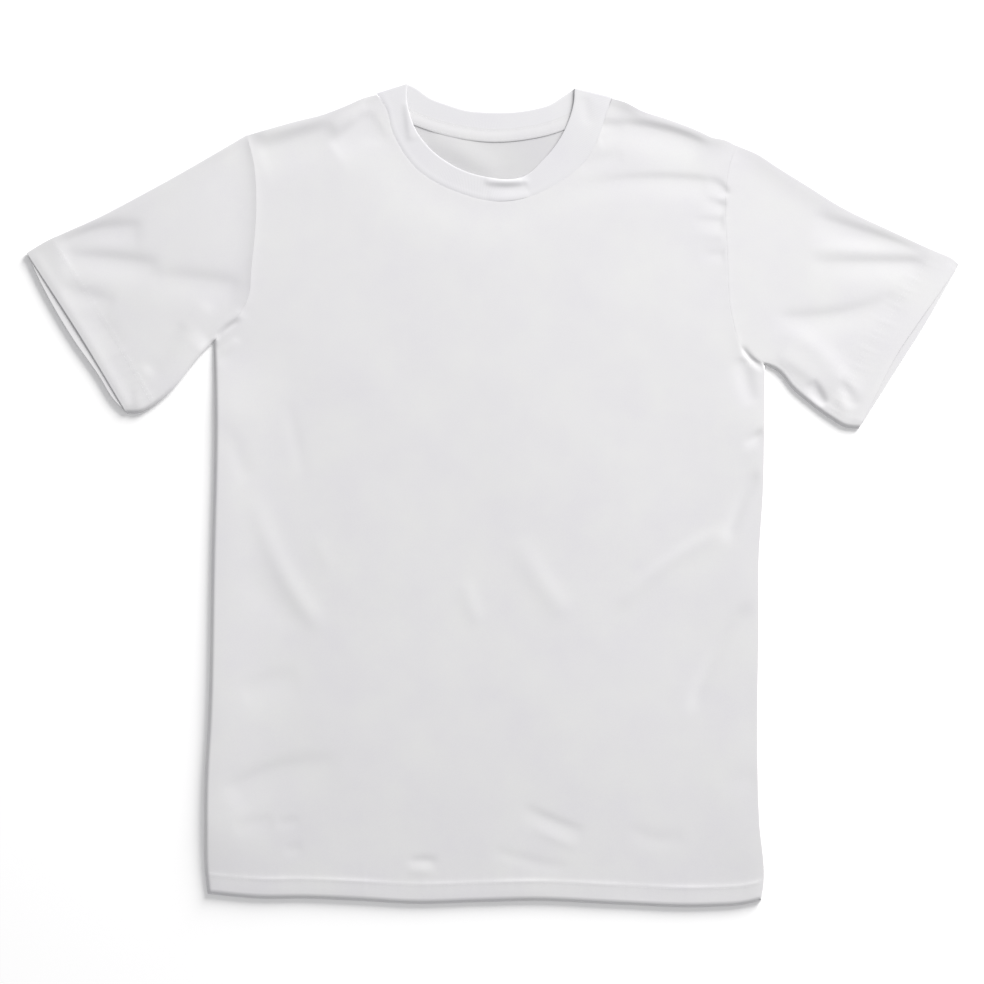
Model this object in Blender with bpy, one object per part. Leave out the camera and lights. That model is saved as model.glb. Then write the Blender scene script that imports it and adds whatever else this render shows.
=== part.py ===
"""A crew neck t-shirt laid flat on its back, with its sleeves spread.

Front, back, two sleeves, a doubled rib neckband and a neck tape, each its own solid.
+X points to the wearer's left sleeve, +Y to the neck and +Z up. The surface that the shirt
lies on is Z = 0, and the origin is under the middle of its outline. Sizes are in mm, and
become metres where a mesh is placed.
"""

import bmesh
import bpy
import numpy as np

MM = 0.001
RIGHT, LEFT = -1, 1  # the wearer's sides, as the sign of X

# Cut of the garment
CHEST = 507.0  # underarm to underarm
HEM_WIDTH = 509.0
SHOULDERS = 450.0  # shoulder tip to shoulder tip
NECK_SEAM_WIDTH = 216.5  # neck point to neck point, where the band is sewn on
BAND_APEX_WIDTH = 153.5  # between the band's two folded corners
CUFF_SPAN = 857.0  # cuff to cuff, across the spread sleeves
BODY_LENGTH = 736.7  # neck point to hem
UNDERARM_HEIGHT = 499.9  # underarm above the hem
HEM_DEPTH = 19.0
CUFF_HEM_DEPTH = 26.0

# Cloth
WALL = 1.2  # one layer of jersey
TURN_UP = 1.0  # what the turned-up layer of a hem adds to the wall
RIB_WALL = 2.0  # the neckband, folded double
TAPE_WALL = 1.0
TAPE_WIDTH = 12.4
SEAM_GAP = 0.3

# How high it lies
LOFT = 4.4  # outer face of the upper layer
HEM_RISE = 0.6  # a hem stands this much higher
FOLD_TIP = 1.6  # where a sleeve's folded edge reaches furthest out
ROLL_WIDTH = 6.0  # how far in from a folded edge the upper layer has rolled up to its height
UNDER_ROLL = 1.6  # the same on the lower layer of a sleeve
BAND_LIFT = 3.6  # underside of the front of the band, where it crosses the tape
BAND_REST = 2.2  # and at the middle of the front

# Rings of points lie at these distances from a folded edge and from a hem's edge and fold
ROLL_STEPS = (0.0, 1.2, 3.0, 6.5, 12.0)
CORNER_STEPS = (0.0, 3.0, 10.0)
HEM_STEPS = (0.0, 9.5, 18.3, 19.7, 25.0)
CUFF_STEPS = (0.0, 13.0, 25.3, 26.7, 32.0)
SHOULDER_SPANS, NECK_SPANS, SIDE_SPANS, ARMHOLE_SPANS, SLEEVE_SPANS = 5, 20, 20, 12, 9
BAND_TURN_SPANS = 5
RELAX_SWEEPS = 400

# Landmarks of the outline. Both sides have the same pattern, and the shirt lies a little
# askew: each point drifts along X, and its left copy lies lower and its right one higher.
HEM_Y = -372.5
LANDMARKS = {
    # name: (half width, y, drift, tilt)
    "hem": (HEM_WIDTH / 2, HEM_Y, -8.0, 3.0),
    "underarm": (CHEST / 2, HEM_Y + UNDERARM_HEIGHT, -3.4, 10.6),
    "cuff_low": (336.1, 65.0, -0.3, 7.0),
    "cuff_top": (CUFF_SPAN / 2, 214.8, -0.1, 5.0),
    "shoulder": (SHOULDERS / 2, 323.8, -1.3, 4.6),
    "neck": (NECK_SEAM_WIDTH / 2, HEM_Y + BODY_LENGTH, 1.3, 1.8),
    "apex": (BAND_APEX_WIDTH / 2, 373.1, -1.8, 2.1),
}

# How each edge leaves the straight line between its two landmarks, going up and round the
# garment from the hem: (share of the way, offset to the outside)
SIDE_SEAM = {
    RIGHT: ((0.22, -0.5), (0.60, -1.6), (0.85, -2.8)),
    LEFT: ((0.03, 1.8), (0.15, -2.9), (0.37, -5.7), (0.64, -5.3), (0.76, -1.3), (0.89, -0.3)),
}
UNDER_SLEEVE = {
    RIGHT: ((0.24, 4.5), (0.59, 10.2), (0.73, 10.4), (0.93, 6.0)),
    LEFT: ((0.12, -2.5), (0.32, 1.5), (0.52, 3.3), (0.75, 3.7), (0.90, 2.8)),
}
CUFF_UPPER = {
    RIGHT: ((0.45, -1.5),),
    LEFT: ((0.20, -3.0), (0.42, -5.6), (0.64, -3.9), (0.78, -2.2)),
}
CUFF_LOWER = {
    RIGHT: ((0.12, 5.0), (0.23, 4.3), (0.50, 8.2), (0.83, 4.6)),
    LEFT: ((0.45, 1.3), (0.62, 1.9)),
}
SLEEVE_TOP = {
    RIGHT: ((0.03, 2.6), (0.07, 1.0), (0.18, -0.3), (0.33, -2.6), (0.47, -2.9), (0.90, -1.0)),
    LEFT: ((0.03, 1.6), (0.10, 0.4), (0.31, -2.8), (0.52, -5.5), (0.82, -1.4), (0.90, 1.4)),
}
SHOULDER_LINE = {
    RIGHT: ((0.42, -1.6), (0.54, -2.7), (0.79, -1.1), (0.90, 0.5)),
    LEFT: ((0.19, -1.8), (0.29, -0.3), (0.56, -1.0), (0.76, -2.5), (0.90, 0.2)),
}
ARMHOLE = {
    RIGHT: ((0.07, -8.6), (0.14, -21.5), (0.23, -26.2), (0.37, -23.6), (0.68, -18.7), (0.86, -11.1)),
    LEFT: ((0.03, -9.5), (0.10, -20.6), (0.20, -23.8), (0.55, -20.6), (0.78, -15.9), (0.89, -10.4)),
}
# From the right side to the left: (share of the way, drop below the straight line)
HEM_LINE = (
    (0.10, 1.8), (0.17, 0.8), (0.27, 3.2), (0.38, 5.6), (0.49, 3.0),
    (0.60, -1.2), (0.74, 1.5), (0.90, 3.5), (0.98, 1.0),
)
FRONT_NECK_SEAM = (
    (0.044, 13.8), (0.068, 33.0), (0.106, 49.1), (0.174, 68.0), (0.256, 80.3), (0.354, 89.4),
    (0.500, 96.8), (0.668, 91.4), (0.809, 74.3), (0.890, 58.5), (0.936, 41.6), (0.975, 16.0),
)
FRONT_NECK_EDGE = (
    (-0.004, 11.5), (0.016, 27.3), (0.060, 42.8), (0.128, 56.4), (0.246, 70.6), (0.382, 80.1),
    (0.500, 84.0), (0.636, 85.2), (0.710, 82.4), (0.820, 67.3), (0.924, 45.6), (0.975, 27.5),
    (0.998, 12.0),
)
BACK_NECK_SEAM = (
    (0.048, 7.9), (0.108, 16.0), (0.205, 24.9), (0.337, 32.7), (0.486, 36.3),
    (0.635, 33.5), (0.749, 27.6), (0.842, 19.0), (0.927, 9.5),
)
BACK_NECK_EDGE = (
    (0.038, 2.4), (0.141, 12.6), (0.248, 18.2), (0.350, 22.5), (0.500, 23.9),
    (0.656, 22.8), (0.758, 20.0), (0.860, 15.1), (0.930, 7.9),
)
TAPE_SHARES = (0.11, 0.89)  # the stretch of the back neck seam that the tape covers

# The largest folds of the upper layer. Each is a soft ridge (rise over 0) or trough along a
# bowed line: its two ends, the bow to the left of the way from one to the other, the half
# width and the rise.
FOLDS = (
    # x0, y0, x1, y1, bow, half width, rise
    (92, 331, 204, 316, 12, 10, -1.5),  # left shoulder
    (96, 314, 206, 299, 9, 11, 1.5),
    (64, 284, 216, 280, 6, 10, -1.3),
    (70, 268, 216, 262, 5, 11, 1.2),
    (-217, 322, -140, 343, 3, 11, -1.0),  # right shoulder
    (-152, 312, -112, 338, 0, 12, -1.2),
    (-398, 224, -316, 250, -5, 11, -1.1),  # right sleeve
    (-390, 210, -236, 186, 8, 11, -1.5),
    (-386, 194, -250, 172, 8, 13, 1.4),
    (-252, 168, -320, 98, 8, 13, -1.5),
    (-238, 152, -300, 92, 6, 12, 1.3),
    (270, 260, 382, 226, -3, 10, -1.2),  # left sleeve
    (282, 210, 412, 209, 2, 10, -1.4),
    (282, 226, 412, 224, 2, 11, 1.3),
    (258, 164, 380, 183, -7, 11, -1.2),
    (268, 156, 329, 74, 6, 13, 1.9),
    (268, 116, 312, 80, 0, 10, -1.6),
    (-225, 20, -168, -132, -17, 13, -1.5),  # body, right side
    (-198, -58, -148, -142, 3, 11, 1.7),
    (-232, -183, -156, -164, 0, 16, -1.0),
    (-254, -281, -134, -249, 14, 14, -1.3),
    (-230, -262, -120, -232, 14, 13, 1.0),
    (-34, -90, -15, -140, 0, 11, -1.1),  # body, middle
    (18, -48, 71, -124, 0, 12, -1.2),
    (26, -284, 102, -314, -2, 10, -1.3),
    (22, -300, 96, -330, -2, 10, 1.3),
    (110, -116, 243, 10, -22, 13, -1.4),  # body, left side
    (96, -104, 232, 24, -22, 13, 1.1),
    (180, -214, 239, -101, -15, 12, -1.3),
    (218, 33, 250, 54, 2, 9, -1.4),
    (226, 138, 244, 76, -3, 11, -1.4),
    (122, -304, 178, -314, -12, 10, -1.1),
)

# Colours, roughness
FINISHES = {
    "jersey": ((0.84, 0.84, 0.85), 0.90),
    "rib": ((0.85, 0.85, 0.86), 0.88),
    "tape": ((0.87, 0.87, 0.87), 0.85),
}


# ---------------------------------------------------------------- lines in plan


def smooth_line(knots, steps=24):
    """A dense line through the knots, rounded at each one."""
    knots = np.array(knots, float)
    reach = np.r_[0, np.cumsum(np.linalg.norm(np.diff(knots, axis=0), axis=1))]
    slopes = np.gradient(knots, reach, axis=0)
    share = np.linspace(0, 1, steps, endpoint=False)[:, None]
    spans = []
    for i, span in enumerate(np.diff(reach)):
        spans.append(
            (1 + 2 * share) * (1 - share) ** 2 * knots[i]
            + share * (1 - share) ** 2 * span * slopes[i]
            + share**2 * (3 - 2 * share) * knots[i + 1]
            + share**2 * (share - 1) * span * slopes[i + 1]
        )
    return np.vstack([*spans, knots[-1:]])


def length_of(line):
    return np.linalg.norm(np.diff(line, axis=0), axis=1).sum()


def at_lengths(line, lengths):
    """The points of a line at these distances along it."""
    reach = np.r_[0, np.cumsum(np.linalg.norm(np.diff(line, axis=0), axis=1))]
    return np.stack([np.interp(lengths, reach, line[:, k]) for k in range(2)], axis=-1)


def bowed_line(start, end, bows, side=LEFT):
    """The smooth line from start to end with its table of offsets to the outside."""
    start, end = np.array(start), np.array(end)
    way = end - start
    outside = side * np.array([way[1], -way[0]]) / np.linalg.norm(way)
    return smooth_line([start, *(start + share * way + out * outside for share, out in bows), end])


def landmark(name, side):
    half_width, y, drift, tilt = LANDMARKS[name]
    return np.array([side * half_width + drift, y - side * tilt])


def outline(start, end, table, side):
    return bowed_line(landmark(start, side), landmark(end, side), table[side], side)


def across(name, bows):
    """A line from the right side's landmark to the left's."""
    return bowed_line(landmark(name, RIGHT), landmark(name, LEFT), bows)


def tangents(points):
    """The direction of a row of points at each one."""
    way = np.gradient(points, axis=0)
    return way / np.linalg.norm(way, axis=1)[:, None]


def moved_aside(points, distance):
    """A row of points moved to the left of the way along it."""
    way = tangents(points)
    return points + distance * np.stack([-way[:, 1], way[:, 0]], axis=1)


def stepped(length, first_steps, spans, last_steps):
    """Distances along a line, close together at its ends and even between them."""
    middle = np.linspace(first_steps[-1], length - last_steps[-1], spans + 1)[1:-1]
    return np.r_[first_steps, middle, length - np.array(last_steps[::-1])]


# ---------------------------------------------------------------- shape of the cloth


def folded_edges():
    """Every edge where the upper layer rolls over to the lower one, as rows of points that
    have the cloth on their left."""
    edges = []
    for side in (RIGHT, LEFT):
        lines = (
            outline("hem", "underarm", SIDE_SEAM, side),
            outline("underarm", "cuff_low", UNDER_SLEEVE, side),
            outline("cuff_top", "shoulder", SLEEVE_TOP, side),
            outline("shoulder", "neck", SHOULDER_LINE, side),
        )
        edges += [line if side == LEFT else line[::-1] for line in lines]
    return edges


def distance_to_edges(plan, edges):
    """How far each point lies from the nearest folded edge, and the way in from there."""
    points = plan.reshape(-1, 2)
    nearest = np.full(len(points), np.inf)
    inward = np.zeros_like(points)
    for line in edges:
        start, way = line[:-1], np.diff(line, axis=0)
        from_start = points[:, None] - start
        share = np.clip((from_start * way).sum(-1) / (way**2).sum(-1), 0, 1)
        gap = from_start - share[..., None] * way
        distance = np.linalg.norm(gap, axis=-1)
        pick = distance.argmin(axis=1)
        rows = np.arange(len(points))
        best = distance[rows, pick]
        normal = np.stack([-way[pick, 1], way[pick, 0]], axis=1)
        normal /= np.linalg.norm(normal, axis=1)[:, None]
        on_edge = best < SEAM_GAP
        direction = np.where(on_edge[:, None], normal, gap[rows, pick] / np.maximum(best, 1e-9)[:, None])
        closer = best < nearest
        nearest = np.where(closer, np.where(on_edge, 0, best), nearest)
        inward = np.where(closer[:, None], direction, inward)
    return nearest.reshape(plan.shape[:-1]), inward.reshape(plan.shape)


def fold_relief(plan):
    """How much the folds raise or lower each point of the upper layer."""
    rise = np.zeros(plan.shape[:-1])
    share = np.linspace(0, 1, 13)[:, None]
    for x0, y0, x1, y1, bow, half_width, height in FOLDS:
        start, way = np.array([x0, y0]), np.array([x1 - x0, y1 - y0])
        sideways = np.array([-way[1], way[0]]) / np.linalg.norm(way)
        line = start + share * way + 4 * share * (1 - share) * bow * sideways
        steps = np.diff(line, axis=0)
        from_start = plan[..., None, :] - line[:-1]
        along = np.clip((from_start * steps).sum(-1) / (steps**2).sum(-1), 0, 1)
        distance = np.linalg.norm(from_start - along[..., None] * steps, axis=-1)
        pick = distance.argmin(axis=-1)
        reach = (pick + np.take_along_axis(along, pick[..., None], -1)[..., 0]) / len(steps)
        taper = (4 * reach * (1 - reach)) ** 0.6
        rise += height * taper * np.exp(-((distance.min(axis=-1) / half_width) ** 2))
    return rise


def roll(distance, width, height):
    """A quarter ellipse from a folded edge: the height reached, and the surface's direction
    as its shares towards the edge and away from the mid-plane."""
    reach = np.clip(1 - distance / width, 0, 1)
    climb = np.sqrt(1 - reach**2)
    out, up = reach / width, climb / height
    size = np.hypot(out, up)
    return climb * height, out / size, up / size


def turn_up(distance, hem):
    """What a hem adds to the wall. It thins out towards the folded edges."""
    return TURN_UP * hem * np.clip((distance - 2) / 8, 0, 1)


def upper_layer(plan, hem, edges, lowest_edge, seams):
    """Outer and inner points of a piece of the upper layer."""
    distance, inward = distance_to_edges(plan, edges)
    wall = WALL + turn_up(distance, hem)
    below = WALL + turn_up(distance, hem) + SEAM_GAP
    top = np.maximum(LOFT + HEM_RISE * hem + fold_relief(plan), below + wall)
    climb, out, up = roll(distance, ROLL_WIDTH, top - lowest_edge)
    outer = np.dstack([plan, lowest_edge + climb])
    shift = inward * (wall * out)[..., None]
    inner = np.dstack([plan + along_seams(shift, seams), outer[..., 2] - wall * up])
    return outer, inner


def lower_layer(plan, hem, edges, seams, rolled):
    """Outer points, which lie on the surface, and inner points of the lower layer."""
    distance, inward = distance_to_edges(plan, edges)
    wall = WALL + turn_up(distance, hem)
    if not rolled:
        return np.dstack([plan, 0 * wall]), np.dstack([plan, wall])
    climb, out, up = roll(distance, UNDER_ROLL, FOLD_TIP)
    outer = np.dstack([plan, FOLD_TIP - climb])
    shift = inward * (wall * out)[..., None]
    inner = np.dstack([plan + along_seams(shift, seams), outer[..., 2] + wall * up])
    return outer, inner


def along_seams(shift, seams):
    """On a seam or a hem's edge a point moves along that line, so the gap there stays even."""
    on_seam = np.abs(seams).sum(-1) > 0
    sign = np.sign((shift * seams).sum(-1))
    kept = seams * (sign * np.linalg.norm(shift, axis=-1))[..., None]
    return np.where(on_seam[..., None], kept, shift)


def patch(hemmed, seamed, first_edge, last_edge, positions, lengths):
    """Plan of a piece: rows run along it from the hemmed edge to the seamed one, and each
    column has its own row positions. The two side edges pass through their own points."""
    share = positions / lengths
    straight = (1 - share)[..., None] * hemmed + share[..., None] * seamed
    blend = np.linspace(0, 1, len(hemmed))[None, :, None]
    first = (first_edge - straight[:, 0])[:, None]
    last = (last_edge - straight[:, -1])[:, None]
    return straight + (1 - blend) * first + blend * last


def relaxed(plan, across_steps, along_steps):
    """The plan with its inner points drawn to the middle of their neighbours, so that the
    columns fan out where two edges meet in nearly one line."""
    plan = plan.copy()
    weights = []
    for steps, shape in ((along_steps, (-1, 1, 1)), (across_steps, (1, -1, 1))):
        gaps = np.diff(steps)
        total = gaps[:-1] + gaps[1:]
        weights.append([(1 / (gap * total)).reshape(shape) for gap in (gaps[:-1], gaps[1:])])
    (before, after), (right, left) = weights
    total = before + after + right + left
    for _ in range(RELAX_SWEEPS):
        plan[1:-1, 1:-1] = (
            before * plan[:-2, 1:-1]
            + after * plan[2:, 1:-1]
            + right * plan[1:-1, :-2]
            + left * plan[1:-1, 2:]
        ) / total
    return plan


def hem_share(positions, depth):
    """1 on the turned-up band of a hem and 0 above its fold."""
    return (positions < depth).astype(float)


# ---------------------------------------------------------------- seams that pieces share


def armhole_points(side):
    """The armhole from the underarm to the shoulder tip."""
    line = outline("underarm", "shoulder", ARMHOLE, side)
    return at_lengths(line, stepped(length_of(line), CORNER_STEPS, ARMHOLE_SPANS, ROLL_STEPS))


def neck_points(name, bows, spans=NECK_SPANS):
    line = across(name, bows)
    return at_lengths(line, np.linspace(0, length_of(line), spans + 1))


# ---------------------------------------------------------------- body panels


def side_points(side):
    """The edge of a body panel from the hem to the shoulder tip, and the distances along it."""
    seam = outline("hem", "underarm", SIDE_SEAM, side)
    up_seam = stepped(length_of(seam), HEM_STEPS, SIDE_SPANS, CORNER_STEPS)[:-1]
    armhole = armhole_points(side)
    up_armhole = length_of(seam) + np.r_[
        0, np.cumsum(np.linalg.norm(np.diff(armhole, axis=0), axis=1))
    ]
    armhole = moved_aside(armhole, side * SEAM_GAP / 2)
    return np.vstack([at_lengths(seam, up_seam), armhole]), np.r_[up_seam, up_armhole]


def top_points(neck_bows):
    """The top edge of a body panel, shoulder tip to shoulder tip."""
    shoulders = {}
    for side in (RIGHT, LEFT):
        line = outline("shoulder", "neck", SHOULDER_LINE, side)
        steps = stepped(length_of(line), ROLL_STEPS, SHOULDER_SPANS, (0.0,))
        shoulders[side] = at_lengths(line, steps)
    neck = moved_aside(neck_points("neck", neck_bows), -SEAM_GAP / 2)
    return np.vstack([shoulders[RIGHT][:-1], neck, shoulders[LEFT][-2::-1]])


def hem_points(top):
    """The hem's edge, with a point under each point of the top edge."""
    line = across("hem", HEM_LINE)
    edge = len(ROLL_STEPS) - 1
    inner = slice(edge, len(top) - edge)
    by_x = (top[inner, 0] - top[edge, 0]) / (top[-1 - edge, 0] - top[edge, 0])
    share = (by_x + np.linspace(0, 1, len(by_x))) / 2
    length, margin = length_of(line), ROLL_STEPS[-1]
    middle = margin + (length - 2 * margin) * share
    return at_lengths(line, np.r_[ROLL_STEPS[:-1], middle, length - np.array(ROLL_STEPS[-2::-1])])


def body_plan(neck_bows):
    """Plan of a body panel, its hem shares, and the directions of its seams and hem."""
    right, height = side_points(RIGHT)
    left, _ = side_points(LEFT)
    top = top_points(neck_bows)
    top[0], top[-1] = right[-1], left[-1]
    hem = hem_points(top)
    lengths = np.linalg.norm(top - hem, axis=1)
    low, high, total = HEM_STEPS[-1], ROLL_STEPS[-1], height[-1]
    share = (height - low) / (total - low - high)
    positions = low + share[:, None] * (lengths - low - high)
    positions[: len(HEM_STEPS)] = np.array(HEM_STEPS)[:, None]
    positions[-len(ROLL_STEPS) :] = lengths - np.array(ROLL_STEPS[::-1])[:, None]
    plan = patch(hem, top, right, left, positions, lengths)
    seams = np.zeros_like(plan)
    seams[0] = tangents(plan[0])
    neck = slice(len(ROLL_STEPS) + SHOULDER_SPANS - 1, -len(ROLL_STEPS) - SHOULDER_SPANS + 1)
    seams[-1, neck] = tangents(plan[-1, neck])
    armhole = slice(len(HEM_STEPS) + SIDE_SPANS + len(CORNER_STEPS) - 2, None)
    for column in (0, -1):
        seams[armhole, column] = tangents(plan[armhole, column])
    return plan, hem_share(positions, HEM_DEPTH), seams


def make_front(edges):
    plan, hem, seams = body_plan(FRONT_NECK_SEAM)
    outer, inner = upper_layer(plan, hem, edges, WALL + SEAM_GAP, seams)
    return sheet_object("front", outer, inner, "jersey")


def make_back(edges):
    plan, hem, seams = body_plan(BACK_NECK_SEAM)
    outer, inner = lower_layer(plan, hem, edges, seams, rolled=False)
    return sheet_object("back", outer, inner, "jersey")


# ---------------------------------------------------------------- sleeves


def sleeve_plan(side, cuff_bows):
    """Plan of one layer of a sleeve, cuff to armhole, from the underarm's edge to the top's."""
    seamed = moved_aside(armhole_points(side), -side * SEAM_GAP / 2)
    cuff = outline("cuff_low", "cuff_top", cuff_bows, side)
    way = np.r_[0, np.cumsum(np.linalg.norm(np.diff(seamed, axis=0), axis=1))]
    hemmed = at_lengths(cuff, way / way[-1] * length_of(cuff))
    lengths = np.linalg.norm(seamed - hemmed, axis=1)
    share = np.linspace(0, 1, SLEEVE_SPANS + 1)[1:, None]
    positions = np.vstack(
        [
            np.repeat(np.array(CUFF_STEPS)[:, None], len(lengths), axis=1),
            CUFF_STEPS[-1] + share * (lengths - CUFF_STEPS[-1]),
        ]
    )
    under = outline("underarm", "cuff_low", UNDER_SLEEVE, side)[::-1]
    top = outline("cuff_top", "shoulder", SLEEVE_TOP, side)
    edge_points = []
    for line, column in ((under, 0), (top, -1)):
        along = positions[:, column] / lengths[column] * length_of(line)
        points = at_lengths(line, along)
        points[-1] = seamed[column]
        edge_points.append(points)
    plan = patch(hemmed, seamed, *edge_points, positions, lengths)
    hem_fold = len(CUFF_STEPS) - 1
    plan[hem_fold:] = relaxed(plan[hem_fold:], way, positions[hem_fold:].mean(axis=1))
    seams = np.zeros_like(plan)
    seams[0], seams[-1] = tangents(plan[0]), tangents(plan[-1])
    return plan, hem_share(positions, CUFF_HEM_DEPTH), seams


def make_sleeve(name, side, edges):
    """A flattened tube: the upper layer from the underarm to the top, then the lower back."""
    plan, hem, seams = sleeve_plan(side, CUFF_UPPER)
    upper = upper_layer(plan, hem, edges, FOLD_TIP, seams)
    plan, hem, seams = sleeve_plan(side, CUFF_LOWER)
    lower = lower_layer(plan, hem, edges, seams, rolled=True)
    rings = [np.hstack([up, low[:, -2:0:-1], up[:, :1]]) for up, low in zip(upper, lower)]
    return sheet_object(name, *rings, "jersey")


# ---------------------------------------------------------------- neckband and tape


def band_section(width):
    """Across the band from its seam to its free edge and back: the distance from the seam and
    the share of the half wall, above or below the middle of the cloth."""
    half = RIB_WALL / 2
    stops = np.array([0, width / 3, 2 * width / 3, width - half])
    return np.r_[stops, width - 0.3 * half, width, width - 0.3 * half, stops[::-1]], np.r_[
        np.ones(4), 0.7, 0, -0.7, -np.ones(4)
    ]


def band_ring(seam, free, middle, normal):
    """Points of the band round one station: seam and free end in plan, the height of the
    cloth's middle there, and the direction its outer face looks."""
    width = np.linalg.norm(free - seam)
    along, side = band_section(width)
    plan = seam + (along / width)[:, None] * (free - seam)
    points = np.column_stack([plan, np.full(len(plan), middle)])
    return points + (side * RIB_WALL / 2)[:, None] * normal


def front_band_height(share):
    """The middle of the band's cloth along the front: high at the folds, where the tape is
    underneath, and low at the middle."""
    near = np.clip((0.5 - abs(share - 0.5) - 0.16) / 0.18, 0, 1)
    ease = near * near * (3 - 2 * near)
    return BAND_LIFT + ease * (BAND_REST - BAND_LIFT) + RIB_WALL / 2


def band_stretch(seam, free, height, up):
    """The rings of one stretch of the band, which lies flat with its outer face up or down."""
    last = len(seam) - 1
    normal = np.array([0, 0, 1.0 if up else -1.0])
    return [band_ring(seam[i], free[i], height(i / last), normal) for i in range(last + 1)]


def band_turn(seam, free, high, low, outward):
    """The rings that take the band round its fold, from the height high to the height low."""
    angles = np.linspace(90, -90, BAND_TURN_SPANS + 1)[1:-1]
    radius = abs(high - low) / 2
    rings = []
    for angle in np.radians(angles if high > low else -angles):
        reach = np.array([*outward, 0]) * np.cos(angle) + np.array([0, 0, 1.0]) * np.sin(angle)
        ring = band_ring(seam, free, (high + low) / 2, reach)
        rings.append(ring + radius * reach)
    return rings


def neckband_lines():
    """Seam and free edge of the band, on the front and on the back."""
    inset = SEAM_GAP / 2
    front = moved_aside(neck_points("neck", FRONT_NECK_SEAM), inset), neck_points("apex", FRONT_NECK_EDGE)
    back = moved_aside(neck_points("neck", BACK_NECK_SEAM), inset), neck_points("apex", BACK_NECK_EDGE)
    return front, back


def make_neckband():
    """One ring of doubled rib: along the front, round the left fold, back along the inside
    of the neck, and round the right fold."""
    (front_seam, front_free), (back_seam, back_free) = neckband_lines()
    for end in (0, -1):
        back_seam[end] = front_seam[end]
    back_height = RIB_WALL / 2
    turns = {}
    for side, end in ((RIGHT, 0), (LEFT, -1)):
        way = front_free[end] - front_seam[end]
        outward = -side * np.array([-way[1], way[0]]) / np.linalg.norm(way)
        heights = front_band_height(0), back_height
        turns[side] = band_turn(
            front_seam[end], front_free[end], *(heights if side == LEFT else heights[::-1]), outward
        )
    rings = (
        band_stretch(front_seam, front_free, front_band_height, up=True)
        + turns[LEFT]
        + band_stretch(back_seam[::-1], back_free[::-1], lambda share: back_height, up=False)
        + turns[RIGHT]
    )
    rings.append(rings[0])
    points = np.array(rings)
    points = np.concatenate([points, points[:, :1]], axis=1)
    return ring_object("neckband", points, "rib")


def make_tape():
    """The strip over the back neck seam: it lies on the band, and steps down to the panel."""
    seam = across("neck", BACK_NECK_SEAM)
    ends = [share * length_of(seam) for share in TAPE_SHARES]
    seam = at_lengths(seam, np.linspace(*ends, NECK_SPANS - 2))
    on_band, on_panel = RIB_WALL + SEAM_GAP, WALL + SEAM_GAP
    half = TAPE_WIDTH / 2
    section = ((half, on_band), (1.5, on_band), (-1.0, on_band), (-3.0, on_panel), (-half, on_panel))
    plan = np.stack([moved_aside(seam, offset) for offset, _ in section], axis=0)
    bottom = np.repeat(np.array([height for _, height in section])[:, None], len(seam), axis=1)
    return sheet_object(
        "neck_tape", np.dstack([plan, bottom + TAPE_WALL]), np.dstack([plan, bottom]), "tape"
    )


# ---------------------------------------------------------------- meshes


def placed_grid(points):
    """A bmesh grid of the points, with each vertex marked by its place in the array."""
    rows, columns = points.shape[:2]
    mesh = bmesh.new()
    mark = mesh.verts.layers.int.new("place")
    bmesh.ops.create_grid(mesh, x_segments=columns - 1, y_segments=rows - 1, size=1)
    for vertex in mesh.verts:
        column = round((vertex.co.x + 1) / 2 * (columns - 1))
        row = round((vertex.co.y + 1) / 2 * (rows - 1))
        vertex[mark] = row * columns + column
        vertex.co = points[row, column] * MM
    bmesh.ops.remove_doubles(mesh, verts=mesh.verts, dist=0.01 * MM)
    return mesh, mark


def finish_object(name, mesh, finish):
    bmesh.ops.recalc_face_normals(mesh, faces=mesh.faces)
    data = bpy.data.meshes.new(name)
    mesh.to_mesh(data)
    mesh.free()
    data.shade_smooth()
    data.set_sharp_from_angle(angle=np.radians(50))
    piece = bpy.data.objects.new(name, data)
    bpy.context.scene.collection.objects.link(piece)
    data.materials.append(cloth_material(name, finish))
    return piece


def sheet_object(name, outer, inner, finish):
    """A closed wall between its outer and inner points, with its rims filled. Where the first
    and last columns are the same points, it is a tube."""
    mesh, mark = placed_grid(outer)
    made = bmesh.ops.extrude_face_region(mesh, geom=mesh.faces[:])["geom"]
    flat = inner.reshape(-1, 3)
    for vertex in made:
        if isinstance(vertex, bmesh.types.BMVert):
            vertex.co = flat[vertex[mark]] * MM
    return finish_object(name, mesh, finish)


def ring_object(name, points, finish):
    """A solid ring, closed along it and round its section."""
    mesh, _ = placed_grid(points)
    return finish_object(name, mesh, finish)


def cloth_material(name, finish):
    colour, roughness = FINISHES[finish]
    material = bpy.data.materials.new(f"{name}_{finish}")
    material.use_nodes = True
    shader = material.node_tree.nodes["Principled BSDF"]
    shader.inputs["Base Color"].default_value = (*colour, 1)
    shader.inputs["Roughness"].default_value = roughness
    shader.inputs["Metallic"].default_value = 0
    return material


def clear_scene():
    for item in list(bpy.data.objects):
        bpy.data.objects.remove(item, do_unlink=True)


def main():
    clear_scene()
    edges = folded_edges()
    make_back(edges)
    make_front(edges)
    make_sleeve("sleeve_right", RIGHT, edges)
    make_sleeve("sleeve_left", LEFT, edges)
    make_neckband()
    make_tape()


main()
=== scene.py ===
"""The looks of a white crew neck t-shirt that lies flat, face up, with its sleeves spread.

Each piece of cloth is a thin shell on the form of its solid, with creases of its own: two
panels, two sleeves, a doubled rib neckband and the tape on the back of the neck. The sewing
is laid on them as thread. +X points to the wearer's left sleeve, +Y to the neck and +Z up,
and the surface below is Z = 0. Lengths are in mm, and MM turns them to metres where a mesh,
a shader or the scene takes them.
"""

import bmesh
import bpy
import numpy as np
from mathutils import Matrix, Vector, noise


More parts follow.
